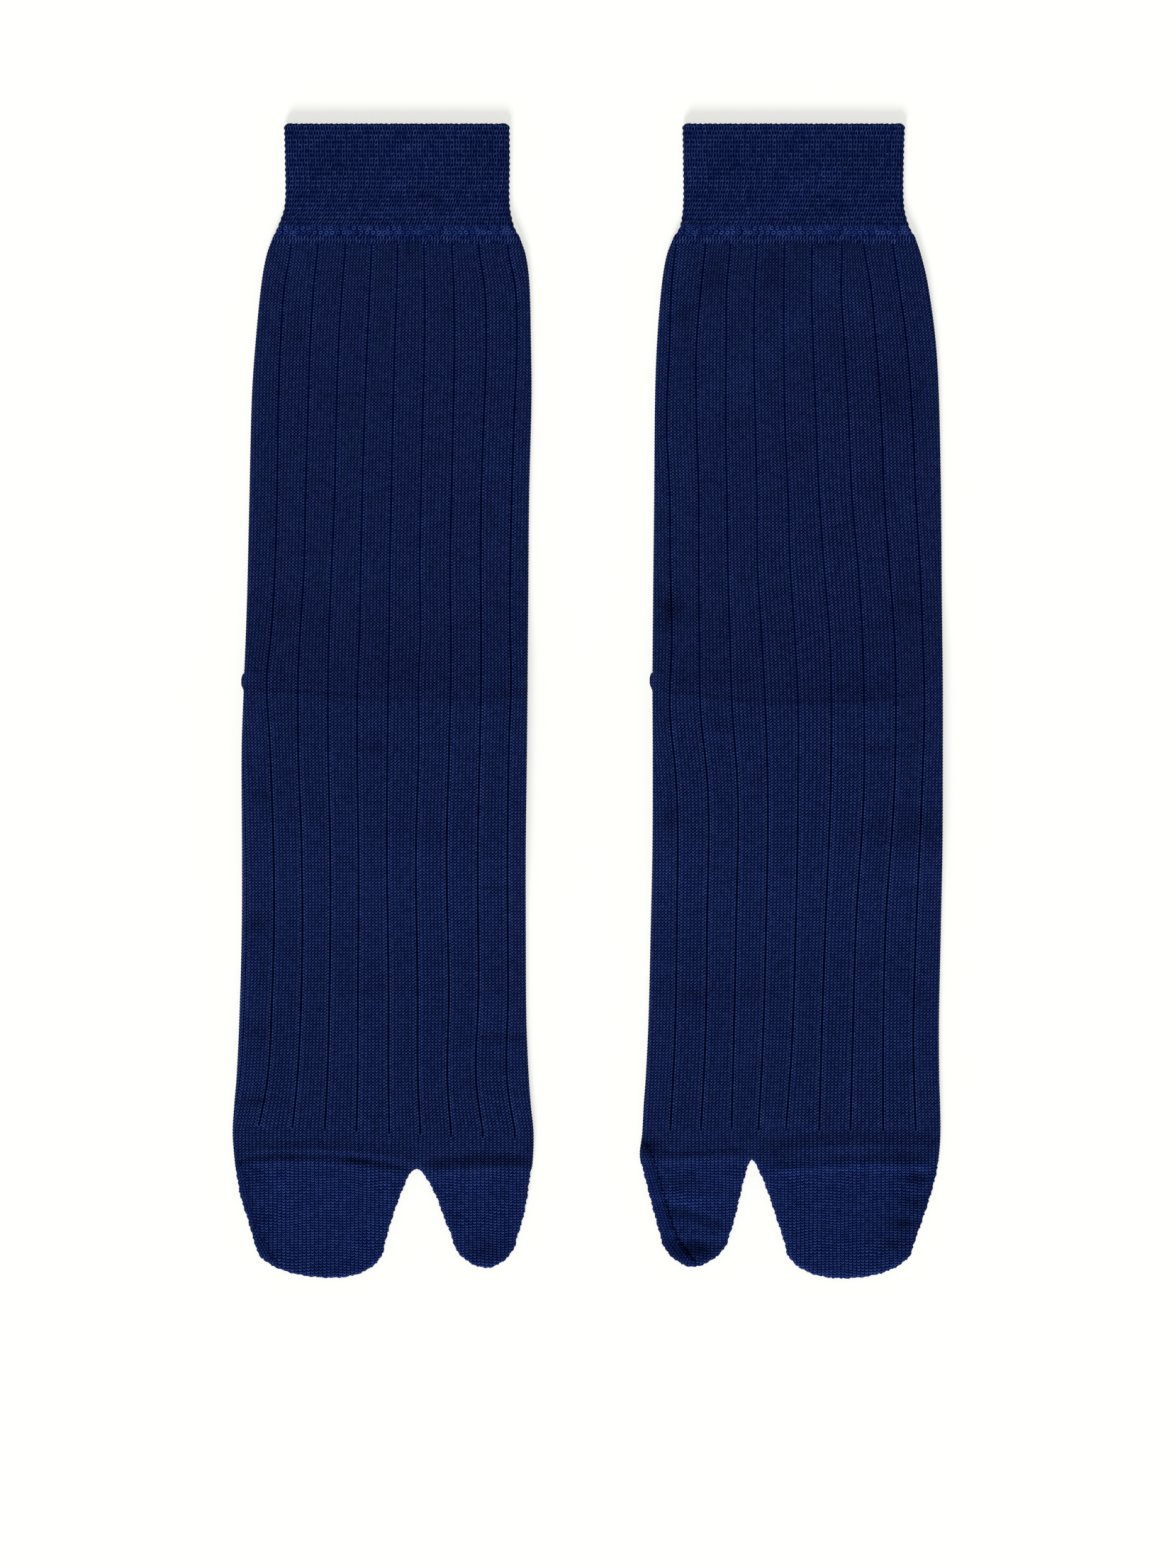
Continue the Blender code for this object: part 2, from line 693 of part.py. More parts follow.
def build_heel(sock, side, material, collection):
    """Two folded layers as one rounded solid, with a notch between them all round its edge."""
    cloth = Cloth(sock.centre_x)
    controls = np.array(heel_controls(sock))
    tangents = np.roll(controls, -1, axis=0) - np.roll(controls, 1, axis=0)
    tangents /= np.linalg.norm(tangents, axis=1)[:, None]
    normals = np.stack([tangents[:, 1], -tangents[:, 0]], axis=1)
    rings = []
    for inset, share in HEEL_RINGS:
        ring = [cloth.point(point, share * HEEL_THICKNESS) for point in controls - inset * normals]
        rings.append([*ring, ring[0]])
    cloth.quads(rings)
    for ring in (rings[0], rings[-1]):
        cloth.mesh.faces.new(ring[:-1])
    return cloth.finish(f"heel_{side}", material, collection)


# ---------- The pair ----------


def centre_on_origin(parts):
    """Moves the meshes so that the origin is below the middle of the pair, on the table."""
    points = np.array([vertex.co for part in parts for vertex in part.data.vertices])
    low, high = points.min(axis=0), points.max(axis=0)
    shift = Matrix.Translation((-(low[0] + high[0]) / 2, -(low[1] + high[1]) / 2, -low[2]))
    for part in parts:
        part.data.transform(shift)


def main():
    for old in list(bpy.data.objects):
        bpy.data.objects.remove(old)
    collection = bpy.data.collections.new("tabi_socks")
    bpy.context.scene.collection.children.link(collection)
    parts = []
    for side, sock in (("left", LEFT), ("right", RIGHT)):
        parts.append(build_cuff(sock, side, knit_material(f"cuff_knit_{side}", NAVY_CUFF), collection))
        parts.append(build_sock(sock, side, knit_material(f"sock_knit_{side}", NAVY), collection))
        parts.append(build_heel(sock, side, knit_material(f"heel_knit_{side}", NAVY_HEEL), collection))
    centre_on_origin(parts)


if __name__ == "__main__":
    main()
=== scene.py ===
"""A pair of knitted tabi socks laid flat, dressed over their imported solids.

Each sock is three knit pieces that share one plan: the cuff with its small holes, the ribbed sock with
its split toe, and the heel pouch folded flat beneath the foot. Each piece is a thin wall, open where
the sock is open, and its stitches follow the wales and courses through the piece's own UV map.

Plan sizes are in millimetres: "across" from a sock's centre line and "down" from the cuff's upper edge.
A plan point is (across, -down).
"""

import math
from collections import namedtuple
from functools import partial, partialmethod

import bmesh
import bpy
import numpy as np
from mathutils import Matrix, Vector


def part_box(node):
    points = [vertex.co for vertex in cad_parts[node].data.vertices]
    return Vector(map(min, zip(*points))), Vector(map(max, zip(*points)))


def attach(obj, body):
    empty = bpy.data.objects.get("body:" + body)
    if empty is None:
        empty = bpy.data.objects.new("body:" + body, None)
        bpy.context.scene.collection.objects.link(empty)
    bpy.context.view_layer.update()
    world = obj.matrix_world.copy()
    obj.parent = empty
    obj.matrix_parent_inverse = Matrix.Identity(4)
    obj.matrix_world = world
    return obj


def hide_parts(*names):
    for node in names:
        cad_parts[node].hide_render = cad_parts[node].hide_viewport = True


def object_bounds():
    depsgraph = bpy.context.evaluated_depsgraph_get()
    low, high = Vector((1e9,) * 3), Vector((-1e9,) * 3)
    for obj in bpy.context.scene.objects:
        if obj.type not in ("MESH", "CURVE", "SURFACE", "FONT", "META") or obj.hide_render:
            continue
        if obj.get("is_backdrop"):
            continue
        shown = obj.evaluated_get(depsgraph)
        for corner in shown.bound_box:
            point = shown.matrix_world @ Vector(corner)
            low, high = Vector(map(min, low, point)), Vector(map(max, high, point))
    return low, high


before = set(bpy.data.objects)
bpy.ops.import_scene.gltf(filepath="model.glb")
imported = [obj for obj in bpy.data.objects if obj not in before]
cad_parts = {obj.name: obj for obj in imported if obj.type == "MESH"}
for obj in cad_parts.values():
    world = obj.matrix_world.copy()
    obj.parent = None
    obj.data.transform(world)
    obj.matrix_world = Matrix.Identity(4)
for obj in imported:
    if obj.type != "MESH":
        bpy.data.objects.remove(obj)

bl_info = {
    "name": "Tabi socks",
    "version": (1, 0, 0),
    "blender": (4, 5, 0),
    "location": "3D View > Sidebar > Tabi socks",
    "description": "Knits a pair of tabi socks over their solids and lays them out on a pale table",
    "category": "Object",
}

MM = 0.001
CAD_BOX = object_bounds()

# ---------- The build of a sock, in millimetres ----------

LOWER_WALL = 1.0
UPPER_WALL = 1.4
LAYER_GAP = 0.6
SOCK_HEIGHT = LOWER_WALL + LAYER_GAP + UPPER_WALL
FOLD_RADIUS = 1.5

CUFF_DEPTH = 37.4
CUFF_WALL = 1.2
CUFF_HEIGHT = 3.0
CUFF_CORNER = 1.1
CUFF_EDGE_LIFT = 0.5
CUFF_LIFT_REACH = 18.0
CUFF_BEAD = 0.12
# The loops along the cuff's upper edge: how far up their middle line is, by share, and how far down they reach
SCALLOP_LEVEL = 0.55
SCALLOP_REACH = 1.2
# How soon the cuff's relief begins and ends, below its upper edge and above its foot
CUFF_TOP_FADE, CUFF_END_FADE = 4.0, 3.0

# The heel pouch. EAR_POINTS go down its side: how far out, how much of the ear, and how far below the top. Its form is
# a ring of points, smoothed over a few on both sides, whose two layers meet in a notch and close in a cap.
HEEL_THICKNESS = 2.2
HEEL_LENGTH = 45.0
HEEL_END_WIDTH = 62.0
HEEL_CORNER = 12.0
HEEL_CORNER_STEPS = 6
HEEL_FLARE = 18.0
HEEL_SETBACK = 0.5
HEEL_TOP_SHARES = (0.93, 0.8, 0.65, 0.5, 0.35, 0.2, 0.07)
HEEL_EAR = 0.9
EAR_TURN = 5.5
EAR_REACH = 0.06
EAR_POINTS = ((-2.2, 0.0, 0.5), (0.0, 0.4, 0.6), (0.0, 1.0, 2.2), (0.0, 1.0, 4.4), (-0.4, 0.0, 7.5))
HEEL_POINTS = 400
HEEL_SMOOTHING = 3
HEEL_LAYER_STEPS = 7
HEEL_NOTCH = 0.55
HEEL_LAYER_SHARE = 0.98
HEEL_CAP_SHARE = 0.15

# How the foot rises over the heel pouch and falls behind it
LIFT = 2.5
RISE_LENGTH = 32.0
RISE_POWER = 1.3
FALL_GAP = 0.3
FALL_LENGTH = 40.0

# The table's light, painted beside the knit's folded edges: how much lighter it is there, how far in that reaches, how
# far above the toes it begins to end and how soon it has ended. How much lighter it is over the foot, the table's
# light painted on the folds, and the least and most in all.
EDGE_SHADE = 0.10
EDGE_REACH = 4.0
EDGE_END, EDGE_FADE = 12.0, 8.0
FOOT_SHADE = 0.06
FOOT_FADE = 12.0
FOLD_SHADE = 0.22
LEAST_SHADE, MOST_SHADE = 0.3, 1.6

# How soon the ribs begin below the cuff and end above the toe line, how far past that line the painted shade at their
# bottom still shows, and how the plain knit, the toes' marks, their rough edge and their even columns begin past it.
RIB_START_FADE = 2.5
RIB_END_FADE = 2.0
RIB_PAST = {"left": 0.0, "right": 1.6}
RIB_MARK_START = 0.5
PLAIN_FADE = 6.0
TOE_MARK_START, TOE_MARK_FADE = 9.0, 5.0
TOE_EDGE_FADE = 4.0
TOE_BLEND_GAP = 1.0

# Soft humps that follow the toe seam and the cuff's foot: height, middle and half width
SEAM_HUMPS = ((0.30, 0.6, 0.9), (-0.25, -0.9, 0.7))
CUFF_FOOT_HUMPS = ((0.35, 34.6, 1.7), (-0.12, 32.0, 1.0))
# How far before a seam its marks start, and the farthest from it that they tell
SEAM_START, FAR_FROM_SEAM = 3.0, 6.0
# Slight waves over the cloth: height, length across, length down and start
SLOW_WAVE, SLOW_WAVE_FADE, QUICK_WAVE = (0.05, 7.3, 19.0), (1.0, math.inf, 9.1, 1.3), (0.04, 3.7, -11.0)
CUFF_WAVE = (0.05, 6.0, 5.0)
# The rough edge of the toes, as waves along it: height, pace and start
TOE_EDGE_WAVES = ((0.13, 2.7, 0.0), (0.10, 1.1, 1.0), (0.08, 4.3, 2.0))
# How far a crease runs past its two ends, and how soon it fades there, by share of its length
CREASE_PAST, CREASE_FADE = 0.04, 0.16

# Knit counts: a rib is seven plain wales and one sunk purl wale.
RIB_WALES = 8
GROOVES = 9
PLAIN_WALE = 1.2
TOE_COURSE = 0.915

# Across a groove, how far from its middle the next columns are, and their share of its depth. Between two grooves, how
# full the cloth's crown is.
GROOVE_STEP, GROOVE_SHARE = 0.42, 0.22
CROWN_POWER = 0.7

# How many columns and rows the meshes have: beside each edge, between two grooves, across each groove, and so on
EDGE_COLUMNS = 4
BAND_COLUMNS = 3
CHANNEL_COLUMNS = 5
UNDER_COLUMNS = (8, 6)
LINING_ROWS = 60
LOBE_ROWS = 72
LINING_LOBE_ROWS = 12
ARC_STEPS = 6
CUFF_ROW = 0.5
CUFF_LINING_ROWS, CUFF_LINING_COLUMNS = 16, 30
POINTS_PER_SPAN = 24
TIP_ANGLES = (22.5, 45.0, 67.5, 90.0, 112.5, 135.0, 157.5)
TIP_CORNERS = (1, 5)

# The cloth of each piece before it is folded: width and length in metres, and the sock's flat area without its split
SOCK_CLOTH, SOCK_AREA = (0.200, 0.348), 0.066
CUFF_CLOTH = (0.158, 0.0374)
HEEL_CLOTH = (0.095, 0.046)

# The camera's frame: how many points high it is, how much of the sock each point shows, and where the camera stands.
# Its sensor is in millimetres too, and the end of its view in metres.
FRAME_POINTS = 2212
POINT_SIZE = 0.2365
CAMERA_PLACE = (0.1, -27.6)
SENSOR = 36.0
VIEW_END = 20.0

# Half the table's width and the height of its top, in metres, and the colours of its glow and of the lights
TABLE_HALF, TABLE_TOP = 3.0, -0.0003
TABLE_GLOW_COLOUR = (1.0, 0.997, 0.965, 1.0)
LAMP_COLOUR = (1.0, 0.995, 0.985)

# ---------- The plan of each sock, in millimetres ----------

# Rows of cuff, edges and sections: down, left edge and right edge. Rows of grooves: down, then each groove's place.
# Crest and toe line: how far down they are at the left edge, in the middle and at the right edge.
# Rows of swells, soft swellings of the upper layer: middle across and down, half length across and down, height, and
# the painted light (above 0) or shade (below 0) on the knit there, as the swelling would catch or lose the light.
# Rows of creases, as parabolas: start, middle, end, half width, height (ridges above 0, troughs below) and the
# painted light or shade there.
Lobe = namedtuple("Lobe", "sections tip_x tip_down roundness")
Sock = namedtuple(
    "Sock",
    "cuff edges grooves crest toe_line first_lobe crotch second_lobe split_groove swells creases seams cuff_swells",
)

LEFT = Sock(
    cuff=((0.0, -35.1, 40.1), (12.0, -34.8, 40.2), (27.0, -34.9, 40.2), (34.3, -37.2, 41.7), (37.4, -38.7, 43.4)),
    edges=(
        (37.5, -38.8, 43.5), (43.8, -41.0, 45.6), (53.2, -42.7, 46.8), (72.1, -44.6, 47.3), (91.1, -45.9, 47.5),
        (124.2, -46.7, 46.7), (162.0, -47.6, 46.4), (188.0, -48.5, 46.2), (209.3, -49.2, 46.0), (242.4, -49.1, 45.6),
        (270.8, -49.3, 45.6), (299.2, -50.1, 45.8), (318.1, -51.0, 46.6), (327.6, -51.8, 47.3), (337.0, -52.3, 48.2),
        (347.3, -51.5, 47.8),
    ),
    grooves=(
        (37.7, -32.6, -23.6, -14.5, -5.8, 2.8, 11.5, 20.9, 29.8, 39.4),
        (41.9, -32.9, -23.9, -14.7, -5.9, 2.8, 11.6, 21.0, 30.0, 39.7),
        (53.2, -34.8, -25.1, -15.6, -6.4, 2.6, 11.8, 21.5, 31.7, 41.9),
        (72.1, -36.2, -26.3, -16.8, -7.3, 1.9, 11.8, 21.8, 32.4, 42.6),
        (100.5, -37.1, -27.2, -17.7, -8.3, 1.2, 11.1, 21.3, 31.5, 41.6),
        (124.2, -37.4, -27.9, -18.2, -9.0, 0.7, 10.6, 20.8, 30.7, 40.9),
        (147.8, -38.1, -28.4, -19.2, -9.5, 0.2, 10.2, 20.3, 30.5, 40.4),
        (171.5, -39.5, -29.8, -20.1, -9.9, 0.0, 10.4, 20.6, 30.7, 40.4),
        (183.3, -40.7, -30.3, -20.3, -10.4, -0.2, 9.9, 20.6, 30.7, 40.7),
        (206.9, -39.7, -30.3, -20.3, -10.6, -0.5, 9.9, 20.1, 30.3, 40.0),
        (242.4, -38.5, -29.1, -19.6, -10.2, -0.7, 9.0, 19.2, 29.6, 39.5),
        (289.7, -39.0, -29.3, -19.9, -10.4, -0.2, 9.5, 19.9, 29.8, 39.7),
        (322.8, -41.2, -31.0, -20.8, -10.6, -0.2, 9.7, 19.6, 29.3, 39.7),
        (335.8, -43.8, -32.4, -21.5, -10.9, 0.0, 10.4, 20.6, 31.2, 41.9),
    ),
    crest=(188.3, 190.8, 190.6),
    toe_line=(333.9, 336.6, 338.8),
    first_lobe=Lobe(
        sections=((350.2, -51.0, 7.0), (357.8, -49.7, 3.6), (365.4, -47.3, 0.9), (373.0, -45.1, -1.3)),
        tip_x=-18.7, tip_down=385.1, roundness=2.1,
    ),
    crotch=(9.2, 348.8),
    second_lobe=Lobe(
        sections=((350.2, 11.3, 47.1), (357.8, 15.6, 46.1), (365.4, 18.4, 44.6), (371.5, 20.9, 42.7)),
        tip_x=32.4, tip_down=381.8, roundness=1.75,
    ),
    split_groove=5,
    swells=(
        (6.9, 41.9, 3.8, 3.1, -0.12, -0.22), (-29.3, 53.2, 2.6, 10.9, 0.12, 0.12),
        (-31.7, 71.7, 5.2, 3.3, 0.15, -0.12), (15.6, 53.7, 3.8, 2.8, 0.0, -0.1), (20.6, 61.7, 2.4, 3.8, -0.1, -0.18),
        (-14.4, 92.9, 5.7, 5.2, 0.15, -0.12), (13.5, 112.3, 6.6, 2.8, 0.3, -0.14), (35.5, 113.5, 3.1, 3.8, 0.1, 0.13),
        (33.3, 134.1, 5.2, 3.8, 0.1, -0.1), (35.5, 141.2, 3.3, 5.7, 0.12, 0.12), (-6.9, 147.8, 3.5, 7.1, 0.1, 0.09),
        (-36.7, 163.9, 3.1, 3.5, 0.1, -0.17), (-16.8, 162.5, 3.3, 4.0, 0.0, 0.09),
        (33.3, 201.7, 4.0, 7.1, 0.15, 0.17), (-30.0, 203.9, 3.5, 3.1, 0.25, -0.16),
        (-5.2, 209.3, 6.1, 3.5, 0.45, -0.18), (-44.5, 196.5, 3.3, 5.2, 0.1, 0.13), (22.9, 215.7, 6.6, 4.0, 0.1, 0.09),
        (-42.1, 225.4, 4.0, 3.1, 0.4, -0.22), (-44.0, 233.2, 4.3, 2.1, 0.15, 0.13),
        (40.4, 226.1, 1.9, 2.4, 0.1, -0.17), (13.0, 237.7, 10.9, 4.0, 0.2, -0.09),
        (-44.5, 267.7, 4.0, 3.5, 0.5, -0.29), (-45.6, 287.8, 2.8, 6.6, 0.15, 0.14),
        (40.4, 280.7, 2.1, 2.1, 0.1, -0.21), (-5.2, 289.7, 6.6, 2.8, 0.2, -0.09), (32.4, 297.3, 4.0, 5.7, 0.1, 0.13),
        (-43.0, 303.9, 4.0, 3.8, 0.35, -0.18), (37.1, 306.5, 9.0, 2.1, 0.45, -0.23),
        (-46.1, 316.9, 2.8, 5.2, 0.15, 0.13), (-44.5, 327.1, 4.7, 1.9, 0.4, -0.29),
        (-41.9, 333.2, 5.2, 2.1, 0.1, 0.13), (13.5, 331.6, 3.1, 2.6, 0.1, -0.14), (43.8, 329.0, 2.1, 4.3, 0.1, 0.13),
        (40.9, 189.4, 4.5, 1.9, -0.05, -0.34), (7.3, 180.9, 14.7, 7.1, 0.0, -0.09),
        (-37.6, 355.0, 5.2, 5.2, 0.12, 0.12), (-22.0, 358.3, 9.5, 4.7, 0.1, 0.07),
        (-44.7, 350.0, 2.1, 3.8, 0.0, -0.21), (-41.9, 364.4, 2.4, 7.1, 0.0, -0.18),
        (-37.1, 377.2, 5.2, 3.5, 0.0, -0.16), (-17.5, 381.9, 14.7, 2.6, 0.0, -0.12),
        (5.4, 370.6, 2.8, 9.5, 0.1, -0.09), (29.1, 352.6, 8.5, 3.1, 0.12, 0.1), (33.3, 375.3, 7.6, 4.3, -0.25, -0.34),
        (22.2, 364.4, 3.1, 3.8, 0.0, -0.17),
    ),
    creases=(
        ((-48.2, 341.0), (-23.4, 339.6), (8.5, 341.7), 1.2, -0.15, -0.14),
        ((-48.7, 343.2), (-23.2, 342.2), (6.1, 345.5), 0.8, 0.25, 0.1),
        ((-51.8, 346.5), (-44.2, 344.6), (-30.5, 344.1), 1.2, -0.45, -0.26),
        ((-35.2, 344.3), (-23.2, 344.3), (-4.5, 345.8), 0.9, -0.3, -0.12),
        ((-16.3, 345.1), (-2.1, 346.7), (8.5, 349.3), 1.2, -0.5, -0.28),
        ((-47.5, 347.7), (-23.2, 346.7), (3.1, 351.2), 1.1, 0.2, 0.1),
        ((12.1, 346.7), (29.1, 344.6), (48.0, 345.1), 1.8, -0.55, -0.3),
        ((14.0, 350.3), (29.8, 348.4), (46.4, 348.4), 1.5, 0.4, 0.09),
        ((-52.7, 187.5), (-30.5, 189.0), (-6.9, 190.6), 0.7, -0.12, -0.2),
        ((-18.7, 190.9), (14.4, 191.1), (47.5, 190.6), 0.7, -0.1, -0.15),
        ((-47.1, 194.2), (-2.1, 195.1), (44.0, 194.6), 1.9, 0.0, 0.05),
        ((-44.2, 89.4), (0.0, 89.9), (44.7, 89.2), 0.9, -0.1, -0.06),
        ((18.0, 254.5), (31.9, 254.2), (45.6, 254.5), 0.7, -0.1, -0.08),
    ),
    seams=(((-53.5, 337.0), (-48.6, 348.0), (-46.9, 357.0), (-44.2, 368.0), (-38.5, 379.0), (-33.0, 386.0)),),
    cuff_swells=(
        (7.6, 8.5, 3.8, 2.1, 0.06, 0.16), (11.1, 13.5, 3.3, 1.9, 0.06, 0.12), (3.3, 20.1, 4.7, 2.1, 0.08, 0.22),
        (0.2, 28.9, 7.1, 1.4, 0.08, 0.21), (-26.3, 27.0, 5.2, 2.1, 0.05, 0.12), (-18.7, 11.8, 10.9, 5.2, 0.0, -0.08),
        (31.0, 9.5, 6.1, 6.1, 0.0, -0.13), (13.2, 23.9, 4.3, 2.8, 0.0, -0.16), (-32.9, 15.4, 3.3, 7.1, 0.0, 0.08),
    ),
)

